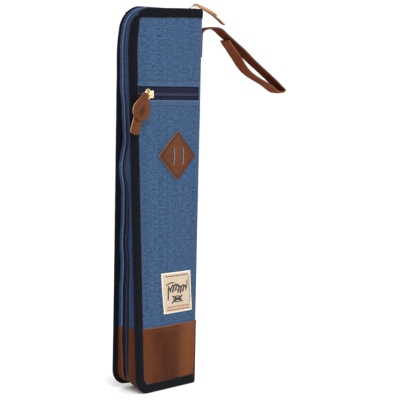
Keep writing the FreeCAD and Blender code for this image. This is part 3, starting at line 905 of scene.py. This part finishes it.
for name, up in (("upper", 1), ("lower", -1)):
    sheetPiece(f"pocket_tape_cloth_{name}", (60, 16), pocketTapePlace(up), tapeCloth, "front_half",
        (f"pocket_tape_{name}",), thickness=0.7 * mm, flip=up < 0)
    spots = []
    for number in range(76):
        x = case["left"] + 12.6 * mm + (number + (0.5 if up > 0 else 0)) * 1.2 * mm
        depth = case["skinDepth"] + 0.5 * mm - faceLift(-1, x, zipZ) * 0.8
        at = settle(skinPoint(-1, x, zipZ, depth))
        nextAt = settle(skinPoint(-1, x + 1 * mm, zipZ, depth))
        along = (nextAt - at).normalized()
        spots.append((at, along, along.cross(Vector((0, 0, 1))).normalized()))
    bm = bmesh.new()
    coilTeeth(bm, spots, 0.9 * mm, 0.0, up, (0.46 * mm, 1.45 * mm, 1.1 * mm))
    finishPiece(f"pocket_teeth_{name}", bm, [coilNylon], "front_half", (f"pocket_coil_{name}",),
        merge=False)


def boxShape(bm, size, centre, matrix, bevel=0.3 * mm, taper=1.0):
    # A rounded block; taper narrows its far end along x.
    made = bmesh.ops.create_cube(bm, size=1.0)["verts"]
    for vert in made:
        narrow = taper if vert.co.x < 0 else 1.0
        vert.co = Vector((vert.co.x * size[0], vert.co.y * size[1] * narrow,
            vert.co.z * size[2])) + Vector(centre)
    edges = list({edge for vert in made for edge in vert.link_edges})
    result = bmesh.ops.bevel(bm, geom=edges, offset=bevel, offset_type="OFFSET", segments=3, profile=0.5,
        affect="EDGES", clamp_overlap=True, material=-1)
    verts = {vert for face in result["faces"] for vert in face.verts} | {v for v in made if v.is_valid}
    bmesh.ops.transform(bm, matrix=matrix, verts=list(verts))


stops = bmesh.new()
for x in (case["left"] + 12.2 * mm, foldStart - 1.0 * mm):
    at = skinPoint(-1, x, zipZ, 0.9 * mm - faceLift(-1, x, zipZ) * 0.8)
    boxShape(stops, (1.4 * mm, 1.6 * mm, 4.2 * mm), at, settleRigid(at) @ Matrix.Identity(4), 0.5 * mm)
smoothAll(stops)
finishPiece("pocket_stops", stops, [stopMetal], "front_half", ("pocket_zip_stops",))
print("pocket zip made")


# Sliders, rings and pulls, made lying flat: x along the zip, y across it, z outwards.
slider = {"length": 12 * mm, "width": 9.6 * mm, "plate": 1.3 * mm, "gap": 3.4 * mm, "bridge": 4.4 * mm}


def sliderPiece(name, matrix, body):
    bm = bmesh.new()
    level = slider["gap"] / 2 + slider["plate"] / 2
    for way in (1, -1):
        boxShape(bm, (slider["length"], slider["width"], slider["plate"]), (0, 0, way * level), matrix,
            0.55 * mm, 0.68)
    boxShape(bm, (3.2 * mm, 2.0 * mm, slider["gap"]), (3.6 * mm, 0, 0), matrix, 0.4 * mm)
    for side in (-1, 1):
        for way in (1, -1):
            at = (0.6 * mm, side * 4.1 * mm, way * (level - 1.0 * mm))
            boxShape(bm, (9 * mm, 0.9 * mm, 1.3 * mm), at, matrix, 0.35 * mm)
    ring = bmesh.ops.create_circle(bm, segments=12, radius=1, cap_ends=False)["verts"]
    height = slider["gap"] / 2 + slider["plate"] - 0.3 * mm
    for vert in ring:
        vert.co = Vector((3.2 * mm + vert.co.x * 0.75 * mm, vert.co.y * 1.6 * mm, 0))
    edges = list({edge for vert in ring for edge in vert.link_edges})
    bmesh.ops.spin(bm, geom=ring + edges, cent=(0, 0, 0), axis=(0, -1, 0), angle=math.pi, steps=18)
    verts = set(ring)
    frontier = list(ring)
    while frontier:
        vert = frontier.pop()
        for edge in vert.link_edges:
            other = edge.other_vert(vert)
            if other not in verts:
                verts.add(other)
                frontier.append(other)
    bmesh.ops.transform(bm, matrix=matrix @ Matrix.Translation((0, 0, height)), verts=list(verts))
    bmesh.ops.recalc_face_normals(bm, faces=bm.faces)
    smoothAll(bm)
    return finishPiece(name, bm, [brass], body, (name,))


def ringPiece(name, matrix, body):
    bm = bmesh.new()
    wire = bmesh.ops.create_circle(bm, segments=14, radius=0.85 * mm, cap_ends=False)["verts"]
    for vert in wire:
        vert.co = Vector((vert.co.x + 6 * mm, 0, vert.co.y))
    edges = list({edge for vert in wire for edge in vert.link_edges})
    bmesh.ops.spin(bm, geom=wire + edges, cent=(0, 0, 0), axis=(0, 0, 1), angle=2 * math.pi, steps=40,
        use_merge=True)
    bmesh.ops.transform(bm, matrix=matrix, verts=bm.verts)
    bmesh.ops.recalc_face_normals(bm, faces=bm.faces)
    smoothAll(bm)
    return finishPiece(name, bm, [brass], body, (name,))


pull = {"neck": 2.9, "head": 12.0, "headLength": 34, "tail": 6.2, "tailLength": 18, "hide": 1.5 * mm}


def headHalfWidth(v):
    # Half the width of the pull's head, from the ring down to its round end.
    rise = blendTable([(0.0, pull["neck"]), (0.62, pull["head"]), (1.0, pull["head"])], v)
    return rise * (1 if v < 0.72 else math.sqrt(max(1 - ((v - 0.72) / 0.285) ** 2, 0.001)))


def pullPiece(name, matrix, body, bend, puff=1.0):
    # Leather that passes through the ring and its own slit: the round head in front, the tail behind.
    bm = bmesh.new()

    def bent(x, y, z):
        return bend(x * mm, y * mm, z * mm * puff)

    def headPlace(u, v):
        s = math.sin((u - 0.5) * math.pi)
        y = 1.2 - pull["headLength"] * v
        half = headHalfWidth(v)
        dent = 1.5 * hump(v, 0.68, 0.17) * hump(s * half, 0, 1.7)
        lips = 0.8 * hump(v, 0.66, 0.2) * hump(abs(s * half), 4.0, 2.2)
        wrap = 2.0 * max(0, 1 - v / 0.12) ** 2
        z = 1.5 + 0.9 * math.cos(s * 1.4) + lips - dent - wrap - 0.6 * max(0, abs(s) - 0.8) * 5 * 0.5
        wearAndLight = min(0.95, dent * 0.8 + 0.35 * hump(v, 0.66, 0.2) * (1 - abs(s)))
        return bent(s * half, y, z), (s * half * mm, y * mm), wearAndLight

    def rearPlace(u, v):
        s = (u - 0.5) * 2
        total = pull["headLength"] + pull["tailLength"]
        y = 1.6 - total * v
        below = total * v - pull["headLength"] + 4
        half = headHalfWidth(min(total * v / pull["headLength"], 0.7)) * 0.9 if below < 0 else pull["tail"]
        if -6 < below < 0:
            half = pull["tail"] + (half - pull["tail"]) * (-below / 6)
        if below > pull["tailLength"] + 1:
            half *= math.sqrt(max(1 - ((below - pull["tailLength"] - 1) / 3.2) ** 2, 0.05))
        z = -1.0 + 1.0 * max(0, below / 18) + 0.35 * math.cos(s * 1.5)
        return bent(s * half, y, z), (s * half * mm + 0.05, y * mm), 0.0

    addGrid(bm, (20, 44), headPlace, settled=False, matrix=matrix)
    addGrid(bm, (14, 50), rearPlace, settled=False, matrix=matrix)
    return finishPiece(name, bm, [tanLeather, paleEdge], body, (name,), pull["hide"], 1,
        merge=False, offset=0.0)


skinBack = 2.3 * mm
pocketAt = Vector((-27.5 * mm, -(halfDepth(zipZ) - skinBack), zipZ))
lean = math.atan2(halfDepth(0) - halfDepth(case["height"]), case["height"])
pocketFrame = (settleRigid(pocketAt) @ Matrix.Translation(pocketAt + Vector((0, -1.4 * mm, 0)))
    @ Matrix.Rotation(math.pi / 2 - lean, 4, "X"))
sliderPiece("pocket_slider", pocketFrame, "pocket_slider")
hinge = 4.25 * mm
ringLean = math.radians(23)
ringCentre = Matrix.Translation((-6 * mm * math.cos(ringLean), 0, hinge + 6 * mm * math.sin(ringLean)))
ringPiece("pocket_ring", pocketFrame @ ringCentre @ Matrix.Rotation(ringLean, 4, "Y"), "pocket_pull")
pullAt = Matrix.Translation((-12 * mm * math.cos(ringLean), 0,
    hinge + 12 * mm * math.sin(ringLean) + 0.2 * mm))


def hangBend(x, y, z):
    # The pull leans back against the pocket as it hangs.
    fall = max(0.0, -y - 4 * mm)
    return Vector((x, y, z - fall * fall * 0.5))


pullPiece("pocket_pull", pocketFrame @ pullAt @ Matrix.Rotation(math.radians(-19), 4, "Z"), "pocket_pull",
    hangBend)

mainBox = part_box("main_slider")
mainAt = Vector(((mainBox[0].x + mainBox[1].x) / 2, 0, case["height"] - 7.7 * mm))
mainFrame = settleRigid(mainAt) @ Matrix.Translation(mainAt + Vector((0, 0, 1.0 * mm)))
sliderPiece("main_slider", mainFrame, "main_slider")
mainLean = math.radians(50)
ringWay = Vector((math.sin(mainLean), 0, math.cos(mainLean))) * 6 * mm
ringPiece("main_ring", mainFrame @ Matrix.Translation(Vector((0, 0, hinge)) + ringWay)
    @ Matrix.Rotation(math.pi / 2 + mainLean, 4, "Y"), "main_pull")
droop = math.radians(15)
lieOver = Matrix(((0, -math.cos(droop), math.sin(droop)), (1, 0, 0),
    (0, math.sin(droop), math.cos(droop)))).to_4x4()


def droopBend(x, y, z):
    fall = max(0.0, -y - 6 * mm)
    return Vector((x, y, z - fall * fall * 5.0))


ringEnd = Matrix.Translation(Vector((0, 0, hinge)) + ringWay * 2)
pullPiece("main_pull", mainFrame @ ringEnd @ lieOver @ Matrix.Rotation(math.radians(-14), 4, "Y"),
    "main_pull", droopBend, 0.55)
print("sliders and pulls made")


# Hand strap: sewn flat to the spine, then out in a long loop whose end is sewn back under it.
strap = {
    "width": 17.5 * mm,
    "thickness": 1.9 * mm,
    "route": [(56.6, 410.6), (56.6, 424), (56.6, 436), (57.4, 441.6), (61, 444.8), (66.6, 446.6),
              (73.6, 447.8), (81.6, 447.8), (89.6, 445), (97.6, 440.4), (125.1, 425.8), (149.1, 409.3),
              (168.1, 397.3), (187.6, 384.8), (200.1, 376.3), (204.9, 372.4), (200.6, 369.4), (192.6, 370.6),
              (176.1, 379.2), (157.1, 387.0), (143, 394.2), (133.1, 402.6), (124.1, 412.8), (114.6, 422.0),
              (106.1, 428.6), (101.4, 433.4)],
}


def alongRoute(share):
    # A smooth line through the strap's route, as a point.
    route = strap["route"]
    place = share * (len(route) - 1)
    index = min(int(place), len(route) - 2)
    t = place - index
    before, start, end, after = (Vector(route[min(max(index + k, 0), len(route) - 1)])
        for k in (-1, 0, 1, 2))
    point = ((2 * start) + (end - before) * t + (2 * before - 5 * start + 4 * end - after) * t * t
        + (3 * start - before - 3 * end + after) * t * t * t) / 2
    return point * mm


def strapPlace(u, v):
    point, ahead = alongRoute(u), alongRoute(min(u + 0.002, 1))
    x, z = point
    drift = (5 + 5 * (x / mm - 57) / 145) * mm * min(1, max(0, (x - 57 * mm) / (30 * mm)))
    y = (0.5 - v) * strap["width"] - drift
    direction = (ahead - point).normalized() if u < 0.998 else Vector((-0.7, 0.7))
    normal = Vector((-direction.y, direction.x))
    curl = 0.5 * mm * math.cos((v - 0.5) * math.pi) + 0.35 * mm * noiseAt(u * 14, v * 1.4, 3.3)
    x, z = x + normal.x * curl, z + normal.y * curl
    # Painted light: the far turn and the returning lower strand are made paler, as if lit, against the shaded
    # upper strand; the paler long edges are edge wear.
    wearAndLight = 0.55 * max(0, 1 - abs(u - 0.66) / 0.06) + 0.25 * (abs(v - 0.5) > 0.46) + 0.25 * (0.70 < u)
    return (x, y, z), (u * 0.36, v * strap["width"]), min(wearAndLight, 1)


bm = bmesh.new()
addGrid(bm, (260, 14), strapPlace, settled=False)
for vert in bm.verts:
    hold = 1.0 if vert.co.x < 58 * mm else max(0.0, 1 - (vert.co.x - 58 * mm) / (60 * mm))
    vert.co = vert.co.lerp(settle(vert.co), hold)
    vert.co.x += 1.2 * mm * hold
finishPiece("strap_loop", bm, [strapLeather, strapEdge],
    ("spine", "strap", (57.5 * mm, 0, 441.5 * mm), (63.5 * mm, 0, 446 * mm)),
    ("strap_loop", "strap_tab"), strap["thickness"], 1, offset=0.0)
print("strap made")


# Lash tab and label on the pocket.
def onFace(side, x, z, lift):
    return skinPoint(side, x, z, case["skinDepth"] - faceLift(side, x, z) - lift)


tabLow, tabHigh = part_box("lash_tab")
tab = {"x": (tabLow.x + tabHigh.x) / 2 - 3 * mm, "z": (tabLow.z + tabHigh.z) / 2,
    "half": (tabHigh.x - tabLow.x) / 2, "thickness": 1.7 * mm, "slot": 10.5 * mm, "slotHalf": 2.1 * mm,
    "spacing": 15 * mm}


def tabPlace(u, v):
    # A square set on its corner, with its corners a little rounded.
    a, b = (u - 0.5) * 2, (v - 0.5) * 2
    x = tab["x"] + (a - b) / 2 * tab["half"] * (1 - 0.02 * abs(a * b))
    z = tab["z"] + (a + b) / 2 * tab["half"] * (1 - 0.02 * abs(a * b))
    rim = (1 - max(abs(a), abs(b))) * tab["half"] / math.sqrt(2)
    groove = hump(rim, 2.6 * mm, 0.55 * mm)
    lift = tab["thickness"] + 0.5 * mm * min(1, rim / (2 * mm)) - 0.45 * mm * groove
    return onFace(-1, x, z, lift), (x, z), min(1, 1.3 * groove + 0.25 * (rim < 1.2 * mm))


bm = bmesh.new()
addGrid(bm, (74, 74), tabPlace)
gone = []
for face in bm.faces:
    centre = face.calc_center_median()
    share = (centre.z - middle) / middle
    turned = Matrix.Rotation(case["twist"] * share, 3, "Z") @ centre
    x = (turned.x - case["shift"]) / (case["ease"] + case["spread"] * share)
    for side in (-1, 1):
        dx = x - tab["x"] - side * tab["spacing"] / 2
        dz = centre.z - tab["z"]
        if (dx / tab["slotHalf"]) ** 2 + (dz / tab["slot"]) ** 4 < 1:
            gone.append(face)
bmesh.ops.delete(bm, geom=list(set(gone)), context="FACES")
finishPiece("lash_tab", bm, [tanLeather, paleEdge], "front_half", ("lash_tab",),
    tab["thickness"], 1)

labelLow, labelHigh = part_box("front_label")
label = {"x": (labelLow.x + labelHigh.x) / 2 - 2.5 * mm, "z": (labelLow.z + labelHigh.z) / 2,
    "width": labelHigh.x - labelLow.x, "height": labelHigh.z - labelLow.z}


def labelPoint(x, z, lift):
    return onFace(-1, label["x"] + x - 0.075 * z, label["z"] + z, lift)


def labelPlace(u, v):
    x, z = (u - 0.5) * label["width"], (v - 0.5) * label["height"]
    rim = min(label["width"] / 2 - abs(x), label["height"] / 2 - abs(z))
    lift = 0.9 * mm - 0.35 * mm * hump(rim, 1.6 * mm, 0.7 * mm) - 0.5 * mm * (rim < 0.2 * mm)
    lift += 0.25 * mm * ripple(x, z, 12 * mm, 5.0)
    return labelPoint(x, z, lift), (x, z), 0.8 * (rim < 1.3 * mm)


sheetPiece("front_label", (60, 56), labelPlace, labelCloth, "front_half", ("front_label",),
    thickness=0.5 * mm)


def stroke(bm, line, width):
    # A printed line of even width through points on the label, in millimetres from its middle.
    points = [Vector(p) * mm for p in line]
    lengths = [0.0]
    for first, second in zip(points, points[1:]):
        lengths.append(lengths[-1] + (second - first).length)

    def place(u, v):
        reach = u * lengths[-1]
        index = next((i for i in range(len(points) - 1) if lengths[i + 1] >= reach - 1e-12),
            len(points) - 2)
        span = max(lengths[index + 1] - lengths[index], 1e-9)
        direction = (points[min(index + 1, len(points) - 1)] - points[index]).normalized()
        at = points[index].lerp(points[index + 1], (reach - lengths[index]) / span)
        at += Vector((-direction.y, direction.x)) * (v - 0.5) * width * mm
        lift = 1.05 * mm + 0.25 * mm * ripple(at.x, at.y, 12 * mm, 5.0)
        return labelPoint(at.x, at.y, lift), (at.x, at.y), 0.0
    addGrid(bm, (max(4, int(lengths[-1] / (0.6 * mm))), 2), place)


def wavy(start, end, swing, waves, count=90, slope=0.0):
    # A flourish that loops as it runs, like a spring pulled sideways.
    line = []
    for number in range(count + 1):
        t = number / count
        swell = math.sin(math.pi * min(1, t * 1.15)) ** 0.4
        x = start[0] + (end[0] - start[0]) * t + math.sin(2 * math.pi * waves * t) * swing * 0.35 * swell
        z = start[1] + (end[1] - start[1]) * t + math.cos(2 * math.pi * waves * t) * swing * swell
        line.append((x, z))
    return line


ink = bmesh.new()
slant = lambda line, lean: [(x + z * lean, z + x * 0.16) for x, z in line]
stroke(ink, slant(wavy((-17, 6.8), (2, 6.8), 4.6, 4.0, 130), 0.42), 1.9)
stroke(ink, slant(wavy((-1, 2.2), (17, 2.2), 4.6, 4.0, 130), 0.42), 1.9)
stroke(ink, slant([(-19, 12), (-17.5, 3), (-16, -6)], 0.3), 2.4)
stroke(ink, slant([(-20, 13), (-12, 14.5), (-5, 13)], 0.0), 1.4)
stroke(ink, slant([(16.5, 11), (17.5, 4), (15.5, -1.5)], 0.2), 1.5)
for tip in ((-11, -13), (10, -12)):
    stroke(ink, [(-tip[0] * 0.9 - 1, -4.2), (tip[0] - 1, tip[1])], 1.7)
for level in (-7.0, -9.6):
    stroke(ink, [(7.0 * math.cos(a / 12 * math.pi) - 1, level + 2.2 * math.sin(a / 12 * math.pi))
        for a in range(25)], 1.3)
for number in range(9):
    stroke(ink, [(-19.6 + number * 4.6, 20.8), (-16.4 + number * 4.6, 20.8)], 1.4)
stroke(ink, [(22.3, 19), (22.3, -15)], 0.6)
finishPiece("label_print_dark", ink, [darkInk], "front_half", merge=False)
ink = bmesh.new()
stroke(ink, [(-21.5, -21.2), (21.5, -21.2)], 1.3)
for number in range(17):
    stroke(ink, [(-20.2 + number * 2.45, -17.6), (-18.7 + number * 2.45, -17.6)], 1.9)
finishPiece("label_print_red", ink, [redInk], "front_half", merge=False)
print("tab and label made")


# Lining, sleeve and inner pocket.
def liningPlace(side, depthLow, depthHigh, leftInset=8.6 * mm, low=8.6 * mm):
    def place(u, v):
        x = case["left"] + leftInset + (foldStart - 1.0 * mm - case["left"] - leftInset) * u
        z = low + (case["height"] - 2 * low) * v
        depth = depthLow + (depthHigh - depthLow) * v
        quilt = 0.4 * mm * ripple(x, z, 25 * mm, side * 6.0)
        return (x, side * (halfDepth(z) - depth + quilt), z), (x, z), 0.0
    return place


lining = {"back": (4.2 * mm, 4.0 * mm), "front": (14.4 * mm, 8.8 * mm)}
for side, half in halves:
    sheetPiece(f"{half}_lining_cloth", (40, 120), liningPlace(side, *lining[half]), liningCloth,
        f"{half}_half", (f"{half}_lining",), thickness=0.6 * mm, flip=side < 0)


def spineLiningPlace(u, v):
    z = 9 * mm + (case["height"] - 18 * mm) * v
    y = (u - 0.5) * 2 * (halfDepth(z) - 5.2 * mm)
    return (case["right"] - 4.0 * mm, y, z), (y, z), 0.0


sheetPiece("spine_lining_cloth", (16, 110), spineLiningPlace, liningCloth, "spine",
    ("spine_lining",), thickness=0.6 * mm, flip=True)


def pouchPlace(side, node, deep, puff, drops):
    low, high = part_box(node)

    def place(u, v):
        x = low.x + (high.x - low.x) * u
        z = low.z + (high.z - low.z) * v
        wave = abs(math.sin(math.pi * u * drops)) ** 0.6
        rise = 0.6 * mm + puff * wave * min(1, v * 6)
        depth = deep[0] + (deep[1] - deep[0]) * z / case["height"] + rise
        return (x, side * (halfDepth(z) - depth), z), (x, z), 0.0
    return place


def pouchBand(side, node, base, high):
    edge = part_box(node)
    top = edge[1].z

    def place(u, v):
        inward, deep = profile(v)
        z = top + 0.6 * mm - 8 * mm * inward
        point, cloth, _ = base(u, (min(z, top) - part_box(high)[0].z) / (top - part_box(high)[0].z))
        point = Vector(point)
        point.z = z
        point.y -= side * (1.0 - 2.2 * deep) * mm
        return point, (cloth[0], z), 0.1
    return place


pouches = [(1, "back", "stick_sleeve", 6.6 * mm, 2), (-1, "front", "inner_pocket", 4.6 * mm, 1)]
for side, half, node, puff, drops in pouches:
    base = pouchPlace(side, node, lining[half], puff, drops)
    low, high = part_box(node)
    sheetPiece(f"{node}_cloth", (60, 60), base, liningCloth, f"{half}_half", (node,),
        thickness=0.6 * mm, flip=side < 0)
    bm = bmesh.new()
    addGrid(bm, (60, 14), pouchBand(side, f"{node}_edge", base, node))
    closeEnds(bm)
    finishPiece(f"{node}_band", bm, [bindingCloth], f"{half}_half", (f"{node}_edge",))
print("inside made")


# Stitching.
def spotsOf(point, count, outward):
    return [(point(number / count), outward) for number in range(count + 1)]


panelLeft = case["left"] + 11 * mm
frontOut, backOut = Vector((0, -1, 0)), Vector((0, 1, 0))
for name, z in (("front_hem_stitches", mouthHigh + hem), ("pocket_hem_stitches", mouthLow - hem)):
    stitchRow(name, spotsOf(lambda t: onFace(-1, panelLeft + (foldStart - panelLeft) * t, z, -0.2 * mm), 40,
        frontOut), navyThread, "front_half", 2.8 * mm, 0.65 * mm)
for side, half, outward in ((-1, "front", frontOut), (1, "back", backOut)):
    body = f"{half}_half"
    stitchRow(f"{half}_hide_stitches", spotsOf(lambda t: onFace(side,
        panelLeft + (foldStart - panelLeft) * t, case["leather"] - 4.6 * mm, 0.85 * mm), 40, outward),
        brownThread, body)
    for piece, low, high in (("low", 12 * mm, mouthLow), ("high", mouthHigh, case["height"] - 11 * mm)):
        stitchRow(f"{half}_fold_stitches_{piece}",
            spotsOf(lambda t: onFace(side, foldStart - 4.5 * mm, low + (high - low) * t,
            0.8 * mm if low + (high - low) * t < case["leather"] else -0.25 * mm), 90, outward),
            navyThread, body)

    def edgeSpot(t):
        x, z = wrapPoint(t, binding["width"] - 1.4 * mm, binding["innerTop"] + 1.0 * mm,
            binding["innerBottom"] + 1.0 * mm)
        return skinPoint(side, x, z, -0.25 * mm)
    stitchRow(f"{half}_edge_stitches", spotsOf(edgeSpot, 400, outward), blackThread, body)


def spotsRound(corners, count, place):
    # Stitch places along each side of a shape, given by the corners of a square two units wide.
    spots = []
    for (ax, az), (bx, bz) in zip(corners, corners[1:]):
        for number in range(count):
            t = number / count
            spots.append((place(ax + (bx - ax) * t, az + (bz - az) * t), frontOut))
    return spots


def tabSpot(x, z):
    reach = tab["half"] - 3.7 * mm
    return onFace(-1, tab["x"] + x * reach, tab["z"] + z * reach, tab["thickness"] + 0.15 * mm)


def labelSpot(x, z):
    return labelPoint(x * (label["width"] / 2 - 1.6 * mm), z * (label["height"] / 2 - 1.6 * mm), 0.75 * mm)


stitchRow("tab_stitches", spotsRound([(1, 0), (0, 1), (-1, 0), (0, -1), (1, 0)], 12, tabSpot), brownThread,
    "front_half", 1.9 * mm, 0.3 * mm, 2.7 * mm)
stitchRow("label_stitches", spotsRound([(1, 1), (1, -1), (-1, -1), (-1, 1), (1, 1)], 24, labelSpot),
    creamThread, "front_half", 1.9 * mm, 0.24 * mm, 2.5 * mm)
line = []
for y in (-7.4, 7.4):
    for number in range(20):
        z = 412.5 + 26.5 * number / 19 if y < 0 else 439 - 26.5 * number / 19
        line.append((Vector((59.4 * mm, y * mm, z * mm)), Vector((1, 0, 0))))
stitchRow("strap_tab_stitches", line, brownThread, "spine", 2.2 * mm, 0.3 * mm, 3.0 * mm)
print("stitching made")


# Floor and light.
floor = bpy.data.meshes.new("floor")
bm = bmesh.new()
bmesh.ops.create_grid(bm, x_segments=2, y_segments=2, size=60)
bm.to_mesh(floor)
bm.free()
floorPiece = bpy.data.objects.new("floor", floor)
bpy.context.scene.collection.objects.link(floorPiece)
floorMaterial = startMaterial("floorPaint", Roughness=0.9, Specular_IOR_Level=0.1,
    Base_Color=(0.98, 0.98, 0.98, 1))[0]
floor.materials.append(floorMaterial)

world = bpy.data.worlds.new("studio")
bpy.context.scene.world = world
world.use_nodes = True
background = world.node_tree.nodes["Background"]
lightPath = world.node_tree.nodes.new("ShaderNodeLightPath")
world.node_tree.links.new(spread(world.node_tree, lightPath.outputs["Is Camera Ray"], 0, 1, 1.06, 1.1),
    background.inputs["Strength"])
background.inputs["Color"].default_value = (1, 1, 1, 1)


def softLight(name, place, aim, size, power):
    data = bpy.data.lights.new(name, "AREA")
    data.energy = power
    data.size = size
    light = bpy.data.objects.new(name, data)
    light.matrix_world = (Matrix.Translation(place)
        @ (Vector(aim) - Vector(place)).to_track_quat("-Z", "Y").to_matrix().to_4x4())
    bpy.context.scene.collection.objects.link(light)


softLight("key", (-0.9, -1.6, 1.5), (0, 0, 0.25), 1.2, 34)
softLight("fill", (1.3, -1.0, 0.8), (0, 0, 0.25), 1.2, 10)
bpy.context.scene.view_settings.view_transform = "Standard"

print("light and floor made")
